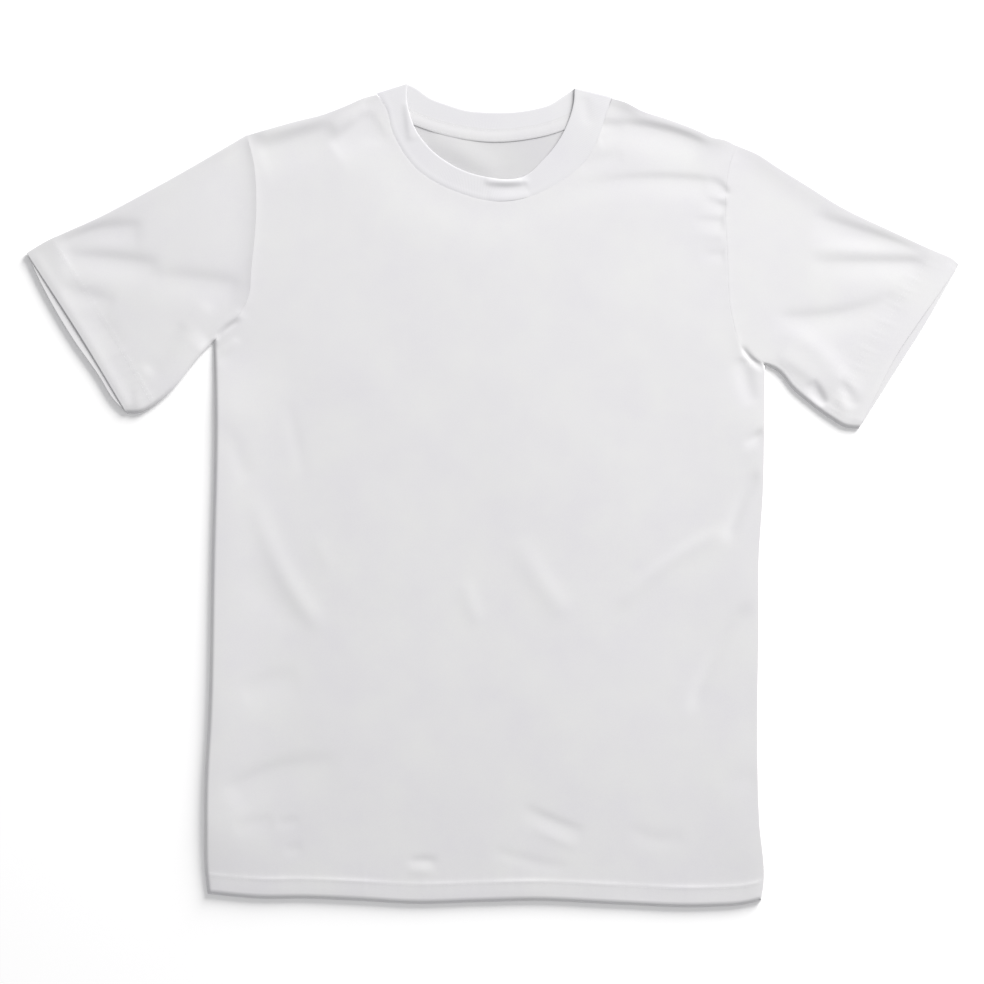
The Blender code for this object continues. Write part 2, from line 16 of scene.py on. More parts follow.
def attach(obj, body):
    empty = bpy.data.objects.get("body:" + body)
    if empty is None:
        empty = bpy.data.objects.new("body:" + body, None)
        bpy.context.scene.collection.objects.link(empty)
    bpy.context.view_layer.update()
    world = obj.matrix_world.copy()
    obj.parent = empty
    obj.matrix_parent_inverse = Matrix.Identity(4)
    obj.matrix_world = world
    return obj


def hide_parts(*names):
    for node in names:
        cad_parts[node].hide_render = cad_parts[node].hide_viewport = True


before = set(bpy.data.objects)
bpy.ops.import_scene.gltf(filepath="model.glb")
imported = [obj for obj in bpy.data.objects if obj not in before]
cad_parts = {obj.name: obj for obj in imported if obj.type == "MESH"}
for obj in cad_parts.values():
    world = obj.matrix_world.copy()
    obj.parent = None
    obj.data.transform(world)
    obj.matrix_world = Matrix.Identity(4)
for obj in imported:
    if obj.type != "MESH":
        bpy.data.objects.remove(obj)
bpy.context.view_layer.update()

MM = 0.001
RIGHT, LEFT = -1, 1  # the wearer's sides, as the sign of X
SIDE_NAMES = {RIGHT: "right", LEFT: "left"}
KEY_WAY = np.array([np.cos(np.radians(54)), np.sin(np.radians(54))])  # to the light, in plan

# ---------------------------------------------------------------- sizes

# Cut of the garment
CHEST = 507.0  # underarm to underarm
HEM_WIDTH = 509.0
SHOULDERS = 450.0  # shoulder tip to shoulder tip
NECK_SEAM_WIDTH = 216.5  # neck point to neck point, where the band is sewn on
BAND_APEX_WIDTH = 153.5  # between the band's two folded corners
CUFF_SPAN = 857.0  # cuff to cuff, across the spread sleeves
BODY_LENGTH = 736.7  # neck point to hem
UNDERARM_HEIGHT = 499.9  # underarm above the hem

# Cloth and sewing
WALL = 0.9  # one layer of jersey, puffed up by its creases
TURN_UP = 0.8  # what the turned-up layer adds at the hem
CUFF_TURN_UP = 0.2  # and at the cuffs
RIB_WALL = 1.2  # the neckband, folded double
RIB_EDGE_WALL = 0.4  # the same, pressed flat at its fold
TAPE_WALL, TAPE_EDGE_WALL = 0.45, 0.05
TAPE_WIDTH = 12.4
SEAM_GAP = 0.06  # between two pieces that are sewn together
STITCH_LENGTH, STITCH_PITCH, THREAD = 2.7, 3.3, 0.30
BAND_WIDTH = 23.0  # the neckband's usual width, for the steps of its section
ROW_SPACING = 3.2  # between the two rows of a twin-needle hem
HEM_ROWS = (17.4, 17.4 + ROW_SPACING)  # their distances from the hem's edge
CUFF_ROWS = (25.0, 25.0 + ROW_SPACING)  # and from the cuff's

# How high it lies
BACK_TOP = 1.1  # inner face of the back panel
LOFT = 3.3  # outer face of the upper layer over the chest
HEM_LOFT, CUFF_LOFT = 1.6, 0.9  # and how much higher it lies at the hem and at the cuffs
HEM_LOFT_FROM, HEM_LOFT_OVER = 100.0, 470.0  # where that starts on the way down, and its length
CUFF_LOFT_FROM, CUFF_LOFT_OVER = 250.0, 175.0  # and on the way out along a sleeve
HEM_RISE, CUFF_RISE = 0.18, 0.04  # the step up to a hem's double layer, at its stitches
CUFF_TILT = 0.1  # and how much a cuff's rim stands above its stitches
FOLD_TIP = 1.4  # where a sleeve's folded edge reaches furthest out
FOLD_MARGIN = 8.0  # from a folded edge to where relief, stand and rims have their full size
DOUBLE_START = 2.0  # and to where a hem's second layer starts to show
LOWEST_EDGE = BACK_TOP + 0.15  # rim of the front panel along its folds
LOWEST_HEM = 0.35  # and along its hem, which hangs over the edge of the back
CORNER_RESTS, CORNER_DROPS = 1.0, 7.0  # how far in from a fold its rim rests, and then drops
HEM_BAND = 30.0  # the stretch beside the hem's edge where the rim may hang so low
BACK_SHORT = 2.6  # how much further up the back's hem lies
ROLL_POWER = 0.8  # how straight a folded edge climbs, 1 being a quarter of a sine
HEM_ROLL = 3.4  # how far in from the hem's edge the front has rolled up
UNDER_ROLL = 1.6  # the same on the lower layer of a sleeve
CUFF_STAND, CUFF_STAND_REACH = 2.2, 18.0  # the lower edge of a cuff stands off the surface
CUFF_CURL, CUFF_CURL_REACH = 0.5, 3.5  # and curls up
CUFF_PRESSED, UNDER_PRESSED = 0.75, 0.30  # how much thinner each layer is at the cuff's edge
PRESSED_REACH, CUFF_MEETS_REACH = 4.0, 9.0  # how far in they are thinner, and lie together
DOUBLE_END, DOUBLE_FADE = 44.0, 14.0  # where a sleeve's floor stops allowing for its hem
LAYER_GAP = 0.12  # between the two layers at a cuff, and under the neck tape
PANEL_GAP = 0.2  # at least, between the front and the back, but for the front's rolled edges
FLOOR_EASE = 0.1  # off a sleeve's floor, because its soft limit stays above the floor
BAND_HEIGHT = 2.05  # middle of the band's cloth at its two folds
BAND_LOW = 1.85  # and along the front, where it rests on the back
BAND_SINKS_FROM, BAND_SINKS_OVER = 0.12, 0.14  # shares of its front where it goes down to that
BAND_ENDS = 6  # stations at each end of its front where its relief dies away
BAND_REST = 0.1  # at least, between the front of the band and the back
TAPE_REST = 0.03  # between the band and the tape

# Sections of the neckband and of the tape
BAND_DIP, BAND_DIP_WIDTH = 0.12, 0.8  # groove at its seam, as a share of half its thickness
BAND_RIDGE, BAND_RIDGE_PLACE, BAND_RIDGE_WIDTH = 0.06, 3.4, 1.8  # over the seam's allowance
BAND_EASE = 6.0  # how far in from its free edge the hidden face eases to the one that shows
TAPE_STEP, TAPE_CROWN = 3.6, 9.0  # over these ways it steps up to the band, and grows thick
TAPE_CRISP, TAPE_CRISP_WIDTH = 0.15, 0.4  # how much lower it is at its lower edge

# Pitch of the meshes, and the rings of points that lie closer together at edges and hems.
# A table gives the pitch at shares of the way, finer where the creases are sharp.
UP_THE_SIDE = ((0.0, 2.6), (0.18, 2.8), (0.30, 4.4), (0.78, 4.4), (0.88, 2.6), (1.0, 2.6))
ROUND_THE_ARMHOLE = ((0.0, 2.6), (1.0, 2.6))
ALONG_THE_SHOULDER = ((0.0, 2.6), (0.6, 2.8), (1.0, 3.2))
BACK_PITCH = ((0.0, 4.6), (1.0, 4.6))
NECK_PITCH, BACK_NECK_PITCH, SLEEVE_PITCH, BAND_PITCH = 3.3, 4.0, 2.2, 1.6
SLEEVE_SPANS = 68  # along a sleeve, between the steps at its hem and at its armhole
BAND_TURN_SPANS = 10  # round each fold of the neckband
EDGE_STEPS = (0.0, 0.4, 0.9, 1.6, 2.5, 3.7, 5.2, 7.0, 9.2)
HEM_STEPS = (0.0, 0.35, 0.9, 1.8, 3.5, 6.0, 9.0, 12.0, 14.5, 16.2,
             *(HEM_ROWS[0] + ROW_SPACING / 4 * i for i in range(5)), 21.8, 23.6, 26.0)
CUFF_STEPS = (0.0, 0.35, 0.9, 1.8, 3.5, 6.0, 9.0, 12.0, 15.0, 18.0, 21.0, 23.4,
              *(CUFF_ROWS[0] + ROW_SPACING / 4 * i for i in range(5)), 29.8, 31.6)
RELAX_SWEEPS = 6000

# Landmarks of the outline. Both sides have the same pattern, and the shirt lies a little
# askew: each point drifts along X, and its left copy lies lower and its right one higher.
HEM_Y = -372.5
LANDMARKS = {
    # name: (half width, y, drift, tilt)
    "hem": (HEM_WIDTH / 2, HEM_Y, -8.0, 3.0),
    "underarm": (CHEST / 2, HEM_Y + UNDERARM_HEIGHT, -3.4, 10.6),
    "cuff_low": (336.1, 65.0, -0.3, 7.0),
    "cuff_top": (CUFF_SPAN / 2, 214.8, -0.1, 5.0),
    "shoulder": (SHOULDERS / 2, 323.8, -1.3, 4.6),
    "neck": (NECK_SEAM_WIDTH / 2, HEM_Y + BODY_LENGTH, 1.3, 1.8),
    "apex": (BAND_APEX_WIDTH / 2, 373.1, -1.8, 2.1),
}

# How each edge leaves the straight line between its two landmarks, going up and round the
# garment from the hem: (share of the way, offset to the outside)
SIDE_SEAM = {
    RIGHT: ((0.04, 2.6), (0.12, 3.8), (0.20, 3.8), (0.32, 1.2), (0.60, -0.3), (0.85, -1.6)),
    LEFT: ((0.03, 2.2), (0.15, -2.2), (0.37, -4.6), (0.50, -4.0), (0.64, -4.3), (0.76, -0.9), (0.89, 0.0)),
}
UNDER_SLEEVE = {
    RIGHT: ((0.10, 0.8), (0.24, 3.2), (0.59, 10.2), (0.73, 10.4), (0.93, 6.0)),
    LEFT: ((0.12, -1.5), (0.32, 4.0), (0.52, 6.2), (0.75, 7.0), (0.90, 5.6)),
}
CUFF_UPPER = {
    RIGHT: ((0.45, -1.5),),
    LEFT: ((0.20, -3.0), (0.42, -5.6), (0.64, -3.9), (0.78, -2.2)),
}
CUFF_LOWER = {
    RIGHT: ((0.12, 4.0), (0.23, 3.7), (0.50, 6.0), (0.83, 3.8)),
    LEFT: ((0.45, 1.3), (0.62, 1.9)),
}
SLEEVE_TOP = {
    RIGHT: ((0.10, 0.9), (0.18, -0.3), (0.33, -2.6), (0.47, -2.9), (0.90, -1.0)),
    LEFT: ((0.03, 1.6), (0.10, 0.4), (0.31, -2.5), (0.52, -4.6), (0.67, -2.2), (0.82, 0.0), (0.90, 1.6)),
}
SHOULDER_LINE = {
    RIGHT: ((0.42, -1.6), (0.54, -2.7), (0.79, -1.1), (0.90, 0.5)),
    LEFT: ((0.09, 1.2), (0.19, -0.8), (0.29, 0.2), (0.56, 0.4), (0.76, -0.8), (0.90, 1.2)),
}
ARMHOLE = {
    RIGHT: ((0.07, -9.2), (0.14, -18.5), (0.23, -25.0), (0.37, -23.6), (0.68, -18.7), (0.86, -11.1)),
    LEFT: ((0.03, -8.2), (0.10, -20.0), (0.20, -23.8), (0.55, -20.6), (0.78, -15.9), (0.89, -10.4)),
}
# From the right side to the left: (share of the way, drop below the straight line)
FRONT_HEM = (
    (0.03, 1.6), (0.10, 4.0), (0.17, 3.4), (0.27, 4.8), (0.38, 7.0), (0.49, 4.8),
    (0.60, 3.0), (0.74, 5.4), (0.90, 6.8), (0.98, 3.0),
)
BACK_HEM = tuple((share, drop - BACK_SHORT) for share, drop in FRONT_HEM)
FRONT_NECK_SEAM = (
    (0.044, 13.8), (0.068, 33.0), (0.106, 49.1), (0.174, 68.0), (0.256, 80.3), (0.354, 89.4),
    (0.500, 96.8), (0.668, 91.4), (0.809, 74.3), (0.890, 58.5), (0.936, 41.6), (0.975, 16.0),
)
FRONT_NECK_EDGE = (
    (-0.004, 11.5), (0.016, 27.3), (0.060, 42.8), (0.128, 56.4), (0.246, 70.6), (0.382, 80.1),
    (0.500, 84.0), (0.636, 85.2), (0.710, 82.4), (0.820, 67.3), (0.924, 45.6), (0.975, 27.5),
    (0.998, 12.0),
)
BACK_NECK_SEAM = (
    (0.048, 7.9), (0.108, 16.0), (0.205, 24.9), (0.337, 32.7), (0.486, 36.3),
    (0.635, 33.5), (0.749, 27.6), (0.842, 19.0), (0.927, 9.5),
)
BACK_NECK_EDGE = (
    (0.038, 2.4), (0.141, 12.6), (0.248, 18.2), (0.350, 22.5), (0.500, 23.9),
    (0.656, 22.8), (0.758, 20.0), (0.860, 15.1), (0.930, 7.9),
)
TAPE_SHARES = (0.11, 0.89)  # the stretch of the back neck seam that the tape covers

# ---------------------------------------------------------------- creases

# Each crease is a soft ridge (rise over 0) or trough along a bowed line: its two ends, the bow
# to the left of the way from one to the other, the half widths on the left and on the right of
# the line, the rise, and the share of the way where it is strongest.
CREASE_DEPTH = 0.8  # of all their rises
CREASES = (
    # x0, y0, x1, y1, bow, left, right, rise, peak
    # right shoulder
    (-224, 325, -146, 349, 0, 6, 8, 0.7, 0.55),
    (-220, 310, -142, 335, 0, 9, 22, -1.2, 0.50),
    (-152, 317, -107, 348, 0, 5, 18, -1.6, 0.55),
    (-128, 352, -112, 316, 6, 14, 7, -0.5, 0.40),
    (-150, 331, -114, 357, 0, 7, 5, 0.8, 0.50),
    # left shoulder
    (94, 337, 203, 315, 8, 3.6, 18, -1.15, 0.55),
    (92, 338, 122, 333, 1, 3.5, 7, -0.8, 0.40),
    (120, 346, 205, 326, 5, 4, 5, 0.4, 0.55),
    (97, 322, 113, 331, 0, 3, 5, -0.4, 0.30),
    (78, 297, 122, 309, 3, 5, 8, -0.3, 0.50),
    (64, 279, 214, 283, 7, 4, 14, -0.8, 0.75),
    (196, 287, 216, 271, 4, 3, 8, -0.7, 0.70),
    (192, 269, 216, 261, 1, 2.8, 8, -0.6, 0.80),
    (180, 250, 214, 249, 0, 3, 7, -0.4, 0.80),
    (184, 237, 214, 235, 0, 4, 5, 0.2, 0.80),
    (188, 219, 214, 218, 0, 3.5, 6, -0.3, 0.80),
    # right sleeve
    (-406, 227, -316, 242, 6, 7, 17, -1.35, 0.50),
    (-402, 215, -300, 205, 3, 8, 15, -1.4, 0.50),
    (-322, 197, -226, 186, 3, 9, 16, -1.0, 0.60),
    (-400, 186, -344, 170, 2, 8, 12, -0.8, 0.45),
    (-372, 168, -340, 128, 0, 10, 10, -0.4, 0.50),
    (-258, 178, -316, 112, 5, 9, 9, 0.7, 0.40),
    (-282, 158, -322, 108, 2, 8, 6, -0.7, 0.60),
    (-228, 168, -262, 138, 0, 9, 5, 0.5, 0.45),
    (-233, 141, -256, 122, 0, 4, 4, 0.5, 0.45),
    (-257, 137, -231, 159, 2.5, 3, 3, -1.6, 0.40),
    # left sleeve
    (288, 255, 404, 217, 0, 6, 18, -0.9, 0.45),
    (282, 222, 404, 217, 2, 8, 5, 0.45, 0.55),
    (284, 210, 406, 210, 0, 5, 13, -0.8, 0.60),
    (252, 160, 382, 184, -9, 7, 15, -0.9, 0.45),
    (258, 154, 336, 72, 12, 10, 11, 0.8, 0.60),
    (258, 130, 316, 86, 3, 14, 8, 0.9, 0.50),
    (292, 104, 306, 78, 0, 4, 8, -1.2, 0.60),
    (316, 104, 334, 76, 2, 5, 6, -0.8, 0.60),
    (312, 92, 326, 72, 0, 5, 5, 0.35, 0.60),
    (228, 136, 254, 112, -4, 2.6, 2.2, -1.3, 0.55),
    # body, right side
    (-246, 66, -224, 6, 0, 8, 8, -0.35, 0.60),
    (-190, 88, -172, 5, 0, 6, 6, -0.25, 0.50),
    (-222, 5, -152, -133, -10, 9, 8, 0.7, 0.65),
    (-232, -60, -176, -128, -4, 14, 14, -0.35, 0.55),
    (-166, -34, -148, -76, 0, 6, 6, 0.2, 0.50),
    (-234, -188, -176, -166, 3, 8, 16, -0.5, 0.50),
    (-252, -281, -132, -250, 12, 8, 22, -0.8, 0.35),
    (-240, -308, -200, -300, 0, 6, 9, -0.35, 0.50),
    (-200, -304, -176, -302, 0, 4, 6, -0.3, 0.50),
    (-192, -330, -174, -325, 0, 4, 6, -0.3, 0.50),
    # body, middle
    (-26, -78, -11, -124, -2, 6, 8, 0.35, 0.50),
    (18, -36, 72, -118, -3, 9, 11, 0.55, 0.60),
    (24, -287, 88, -313, -2, 4, 9, -0.55, 0.50),
    (34, -306, 82, -327, -2, 6, 4, 0.25, 0.50),
    (-6, -326, 76, -346, -3, 5, 6, -0.3, 0.50),
    (-80, -340, -50, -340, 2, 3.5, 4.5, -0.6, 0.55),
    (-80, -349, -52, -349, 1, 4, 4, 0.3, 0.50),
    # body, left side
    (246, 22, 214, -49, -3, 5, 7, -1.0, 0.50),
    (222, -30, 108, -113, -9, 9, 5, 0.7, 0.50),
    (241, -98, 180, -208, -8, 7, 7, -1.0, 0.50),
    (230, 42, 250, 56, 1, 3, 4.5, -1.2, 0.75),
    (228, 30, 246, 40, 1, 5, 5, 0.15, 0.60),
    (223, 152, 254, 106, -9, 2.5, 4, 0.12, 0.45),
    (230, 126, 240, 78, -2, 6, 8, -0.9, 0.40),
    (122, -304, 178, -314, -10, 7, 8, -0.3, 0.50),
    (205, -268, 246, -262, 0, 9, 12, -0.25, 0.70),
)
# On the inside of the back, which shows in the neck opening
BACK_CREASES = (
    (-66, 326, 10, 287, 4, 12, 10, 0.9, 0.50),
)
# On the front of the neckband
BAND_CREASES = (
    (-80, 362, -75, 320, 0, 6.5, 3.5, 0.7, 0.50),
    (-12, 286.5, 36, 287.0, -2, 2.5, 3.2, 0.8, 0.55),
    (-10, 281.5, 34, 282.0, -2, 3.5, 6, -0.6, 0.55),
    (84, 366, 88, 336, 0, 5, 6, -0.3, 0.50),
)
# Where the upper layer folds over to the lower one: from one landmark to the next, how wide
# the fold rolls, how much it stands up, and how far in that reaches. Folds on the side of the
# right hip stand free, and those on the other side are pressed flat.
FOLDS = (
    ("hem", "underarm", RIGHT, 4.0, 2.2, 42.0),
    ("hem", "underarm", LEFT, 0.5, 0.8, 42.0),
    ("underarm", "cuff_low", RIGHT, 4.0, 1.3, 16.0),
    ("underarm", "cuff_low", LEFT, 4.0, 0.1, 20.0),
    ("cuff_top", "shoulder", RIGHT, 0.5, 0.5, 12.0),
    ("cuff_top", "shoulder", LEFT, 0.5, 0.5, 12.0),
    ("shoulder", "neck", RIGHT, 0.6, 0.8, 9.0),
    ("shoulder", "neck", LEFT, 0.6, 0.6, 9.0),
)
FOLD_ENDS = 7  # a fold stands up fully but for one such part of it at each end
# How a crease dies away towards both ends, over one such part of it at the very end, and how
# many half widths off it is felt
CREASE_TAPER, CREASE_ENDS, CREASE_MARGIN = 1.6, 6, 3
# Soft unevenness of the cloth: (size of the swells, their height)
SWELLS = ((150.0, 0.35), (60.0, 0.10), (24.0, 0.03))
SWELL_SLICE = 3.0  # the slice of the noise that they are read from
BAND_SWELLS = 0.5  # the share of them that the stiffer neckband has
# Beside each armhole: the crest of its seam, how far that reaches into the panel and into the
# sleeve, and how far the sleeve sinks beyond it
ARMHOLE_CREST = {RIGHT: (0.30, 4.0, 4.0, 0.60), LEFT: (0.12, 6.0, 3.0, 0.0)}
SINK_START, SINK_REACH = 8.0, 38.0  # over which ways it starts to sink, and is level again
# What the sewing does to the cloth: the depth and half width of the groove at the stitches,
# the height and half width of the welt between two rows, and the height and reach of the
# ripples beside them. A hem's groove and welt are shares of its rise.
NECK_GROOVE, NECK_GROOVE_WIDTH = 0.05, 1.2
ARMHOLE_GROOVE, ARMHOLE_GROOVE_WIDTH = 0.04, 0.7
HEM_GROOVE, HEM_GROOVE_WIDTH = 0.1, 0.75
HEM_WELT, HEM_WELT_WIDTH = 0.6, 2.1
HEM_STEP = 0.7  # how soft the step to the double layer is
HEM_UNEVEN, HEM_WAVES = 0.5, (17.0, 41.0)  # how a hem's relief comes and goes along it
SEAM_RIPPLE, SEAM_RIPPLE_REACH = 0.05, 7.0
HEM_RIPPLE, HEM_RIPPLE_REACH = 0.08, 9.0
TAPE_RIPPLE, TAPE_RIPPLE_REACH, TAPE_RIPPLE_SIZE = 0.05, 4.0, 8.0
NECK_MEETS_REACH = 32.0  # how far from the neck seam the front comes down to the band
SEAM_CLOSES_FROM, SEAM_CLOSES_OVER = 0.60, 0.14  # shares of the neck seam where it closes up

# ---------------------------------------------------------------- lines in plan


def smooth_line(knots, steps=8):
    """A dense line through the knots, rounded at each one."""
    knots = np.array(knots, float)
    reach = np.r_[0, np.cumsum(np.linalg.norm(np.diff(knots, axis=0), axis=1))]
    slopes = np.gradient(knots, reach, axis=0)
    share = np.linspace(0, 1, steps, endpoint=False)[:, None]
    spans = []
    for i, span in enumerate(np.diff(reach)):
        spans.append(
            (1 + 2 * share) * (1 - share) ** 2 * knots[i]
            + share * (1 - share) ** 2 * span * slopes[i]
            + share**2 * (3 - 2 * share) * knots[i + 1]
            + share**2 * (share - 1) * span * slopes[i + 1]
        )
    return np.vstack([*spans, knots[-1:]])


def reach_along(line):
    """The distance of each point of a line from its start."""
    return np.r_[0, np.cumsum(np.linalg.norm(np.diff(line, axis=0), axis=1))]


def at_lengths(line, lengths):
    """The points of a line at these distances along it."""
    reach = reach_along(line)
    return np.stack([np.interp(lengths, reach, line[:, k]) for k in range(line.shape[1])], axis=-1)


def bowed_line(start, end, bows, side=LEFT):
    """The smooth line from start to end with its table of offsets to the outside."""
    start, end = np.array(start), np.array(end)
    way = end - start
    outside = side * np.array([way[1], -way[0]]) / np.linalg.norm(way)
    return smooth_line([start, *(start + share * way + out * outside for share, out in bows), end])


def landmark(name, side):
    half_width, y, drift, tilt = LANDMARKS[name]
    return np.array([side * half_width + drift, y - side * tilt])


def outline(start, end, table, side):
    return bowed_line(landmark(start, side), landmark(end, side), table[side], side)


def across(name, bows):
    """The line from the right side's landmark to the left's."""
    return bowed_line(landmark(name, RIGHT), landmark(name, LEFT), bows)


def tangents(points):
    way = np.gradient(points, axis=0)
    return way / np.linalg.norm(way, axis=1)[:, None]


def moved_aside(points, distance):
    """A row of points moved to the left of the way along it."""
    way = tangents(points)
    return points + distance * np.stack([-way[:, 1], way[:, 0]], axis=1)


def stepped(length, first_steps, pitches, last_steps):
    """Distances along a line, close together at its ends, and between them a pitch apart that
    changes along the way by its table."""
    ways = np.linspace(first_steps[-1], length - last_steps[-1], 400)
    shares, sizes = np.array(pitches).T
    spans = np.r_[0, np.cumsum(np.diff(ways) / np.interp(ways[1:] / length, shares, sizes))]
    count = round(spans[-1])
    middle = np.interp(np.arange(1, count) * spans[-1] / count, spans, ways)
    return np.r_[first_steps, middle, length - np.array(last_steps[::-1])]


def beside_line(plan, line):
    """How far each point of a plan lies from a line, how far along it, and the way from it."""
    distance = np.full(plan.shape[:-1], np.inf)
    along, away = np.zeros_like(distance), np.zeros_like(plan)
    for start, end, reach in zip(line[:-1], line[1:], reach_along(line)):
        way = end - start
        length = np.linalg.norm(way)
        share = np.clip((plan - start) @ way / length**2, 0, 1)
        gap = plan - start - share[..., None] * way
        here = np.linalg.norm(gap, axis=-1)
        closer = here < distance
        distance = np.where(closer, here, distance)
        along = np.where(closer, reach + share * length, along)
        away = np.where(closer[..., None], gap, away)
    return distance, along, away


# ---------------------------------------------------------------- relief of the cloth


def folds_beside(plan):
    """For each point of a plan: how far it lies from the nearest fold, which way and by which
    share of its thickness the wall turns in there, how wide the fold rolls, and how much the
    springy folds raise the point."""
    tables = {"hem": SIDE_SEAM, "underarm": UNDER_SLEEVE}
    tables |= {"cuff_top": SLEEVE_TOP, "shoulder": SHOULDER_LINE}
    nearest, inward = np.full(plan.shape[:-1], np.inf), np.zeros_like(plan)
    lift, width, weight = (np.zeros(plan.shape[:-1]) for _ in range(3))
    for start, end, side, roll_width, rise, reach in FOLDS:
        line = outline(start, end, tables[start], side)
        distance, along, away = beside_line(plan, line)
        share = along / reach_along(line)[-1]
        closer = distance < nearest
        nearest = np.where(closer, distance, nearest)
        direction = directions_from(line, distance, along, away, side)
        inward = np.where(closer[..., None], direction, inward)
        fade = np.clip(FOLD_ENDS * share, 0, 1) * np.clip(FOLD_ENDS * (1 - share), 0, 1)
        lift += rise * smooth_step(fade) * bell(distance, reach)
        close = 1 / (distance + 1) ** 4
        width += roll_width * close
        weight += close
    width /= weight
    return nearest, inward * turns_in(nearest, width), width, lift


def turns_in(distance, width):
    """How much of the wall's thickness lies inside a folded edge, at a distance from it."""
    return np.exp(-distance / np.maximum(1.15 * WALL, width / 2))[..., None]


def directions_from(line, distance, along, away, side=LEFT):
    """The way from a line to each point beside it, and for a point on it the way to its side."""
    ways = at_lengths(line, np.clip(along.ravel()[:, None] + [-1, 0, 1], 0, None).ravel())
    ways = tangents(ways)[1::3].reshape(*along.shape, 2)
    normals = side * np.stack([-ways[..., 1], ways[..., 0]], axis=-1)
    on_line = (distance < 0.05)[..., None]
    return np.where(on_line, normals, away / np.maximum(distance, 1e-9)[..., None])


def smooth_step(value):
    value = np.clip(value, 0, 1)
    return value * value * (3 - 2 * value)


def bell(distance, width):
    """1 at the middle, and dying away over the width on each side."""
    return np.exp(-((distance / width) ** 2))


def away_from_fold(distance, start=0.0):
    """0 at a folded edge and up to the start, and 1 from the fold's margin further in."""
    return np.clip((distance - start) / FOLD_MARGIN, 0, 1)


def loft(plan):
    """How high the outer face of the upper layer lies."""
    x, y = np.abs(plan[..., 0]), plan[..., 1]
    to_hem = smooth_step((HEM_LOFT_FROM - y) / HEM_LOFT_OVER)
    to_cuff = smooth_step((x - CUFF_LOFT_FROM) / CUFF_LOFT_OVER)
    return LOFT + HEM_LOFT * to_hem + CUFF_LOFT * to_cuff


def crease_relief(plan, creases):
    """How much the creases raise or lower each point."""
    rise = np.zeros(plan.shape[:-1])
    for x0, y0, x1, y1, bow, left_width, right_width, height, peak in creases:
        start, end = np.array([x0, y0], float), np.array([x1, y1], float)
        line = bowed_line(start, end, ((0.25, -0.75 * bow), (0.5, -bow), (0.75, -0.75 * bow)))[::2]
        margin = CREASE_MARGIN * max(left_width, right_width)
        near = np.all((plan > line.min(0) - margin) & (plan < line.max(0) + margin), axis=-1)
        distance, along, away = beside_line(plan[near], line)
        way = end - start
        on_left = way[0] * away[..., 1] - way[1] * away[..., 0] > 0
        width = np.where(on_left, left_width, right_width)
        share = np.clip(along / reach_along(line)[-1], 1e-6, 1 - 1e-6)
        fade = (share / peak) ** peak * ((1 - share) / (1 - peak)) ** (1 - peak)
        ends = smooth_step(CREASE_ENDS * share) * smooth_step(CREASE_ENDS * (1 - share))
        fade = fade**CREASE_TAPER * ends
        rise[near] += CREASE_DEPTH * height * fade * bell(distance, width)
    return rise


def swell_relief(plan):
    """The soft unevenness of cloth that was smoothed out by hand."""
    rise = np.zeros(plan.shape[:-1])
    points = plan.reshape(-1, 2)
    for size, height in SWELLS:
        swells = [noise.noise((x / size, y / size, SWELL_SLICE)) for x, y in points]
        rise += height * np.array(swells).reshape(rise.shape)
    return rise


def pucker(along, distance, reach, size=11.0):
    """The small ripples that a row of stitches draws up beside it."""
    ripple = sum(
        np.sin(2 * np.pi * along / (size * stretch) + phase)
        for stretch, phase in ((1.0, 0.3), (0.63, 2.1), (1.71, 4.0), (0.41, 1.2))
    )
    return ripple / 4 * np.exp(-distance / reach)


def neck_seam_relief(plan, line):
    """Beside the neck seam the panel lies lower to meet the band, with a faint groove at the
    stitches and the ripples that the sewing draws up."""
    distance, along, _ = beside_line(plan, line)
    share = along / reach_along(line)[-1]
    meet = (band_height(share) + RIB_WALL / 2 - loft(plan)) * bell(distance, NECK_MEETS_REACH)
    groove = -NECK_GROOVE * seam_shows(share) * bell(distance, NECK_GROOVE_WIDTH)
    return meet + (groove + SEAM_RIPPLE * pucker(along, distance, SEAM_RIPPLE_REACH))


def band_height(share):
    """Height of the middle of the band's cloth along its front, from fold to fold."""
    from_fold = 0.5 - np.abs(share - 0.5)
    sunk = smooth_step((from_fold - BAND_SINKS_FROM) / BAND_SINKS_OVER)
    return BAND_HEIGHT + (BAND_LOW - BAND_HEIGHT) * sunk


def seam_shows(share):
    """The neck seam is a soft groove, and on the left side it closes up."""
    return 1 - smooth_step((share - SEAM_CLOSES_FROM) / SEAM_CLOSES_OVER)


def armhole_relief(plan, side, on_sleeve):
    """Beside an armhole's seam: its crest, from which the sleeve falls away, a faint groove at
    the stitches and the ripples that the sewing draws up."""
    crest, panel_reach, sleeve_reach, sink = ARMHOLE_CREST[side]
    distance, along, _ = beside_line(plan, outline("underarm", "shoulder", ARMHOLE, side))
    rise = crest * np.exp(-distance / (sleeve_reach if on_sleeve else panel_reach))
    rise -= ARMHOLE_GROOVE * bell(distance, ARMHOLE_GROOVE_WIDTH)
    if on_sleeve:
        rise -= sink * (1 - np.exp(-distance / SINK_START)) * bell(distance, SINK_REACH)
    return rise + SEAM_RIPPLE * pucker(along, distance, SEAM_RIPPLE_REACH)


def roll(distance, width, height, wall):
    """The curve up from a folded edge, steep for most of its width: the height reached, and how
    far under it the wall's other face lies."""
    share = np.clip(distance / width, 1e-6, 1) ** ROLL_POWER
    climb = np.sin(share * np.pi / 2)
    turn = ROLL_POWER * np.pi / 2 * share ** (1 - 1 / ROLL_POWER)
    slope = height / width * turn * np.cos(share * np.pi / 2)
    return climb * height, np.minimum(wall / np.hypot(slope, 1), 0.9 * climb * height)


def smooth_max(value, floor, softness=0.25):
    """The value, eased off softly where it would fall below the floor."""
    return floor + softness * np.logaddexp(0, (value - floor) / softness)


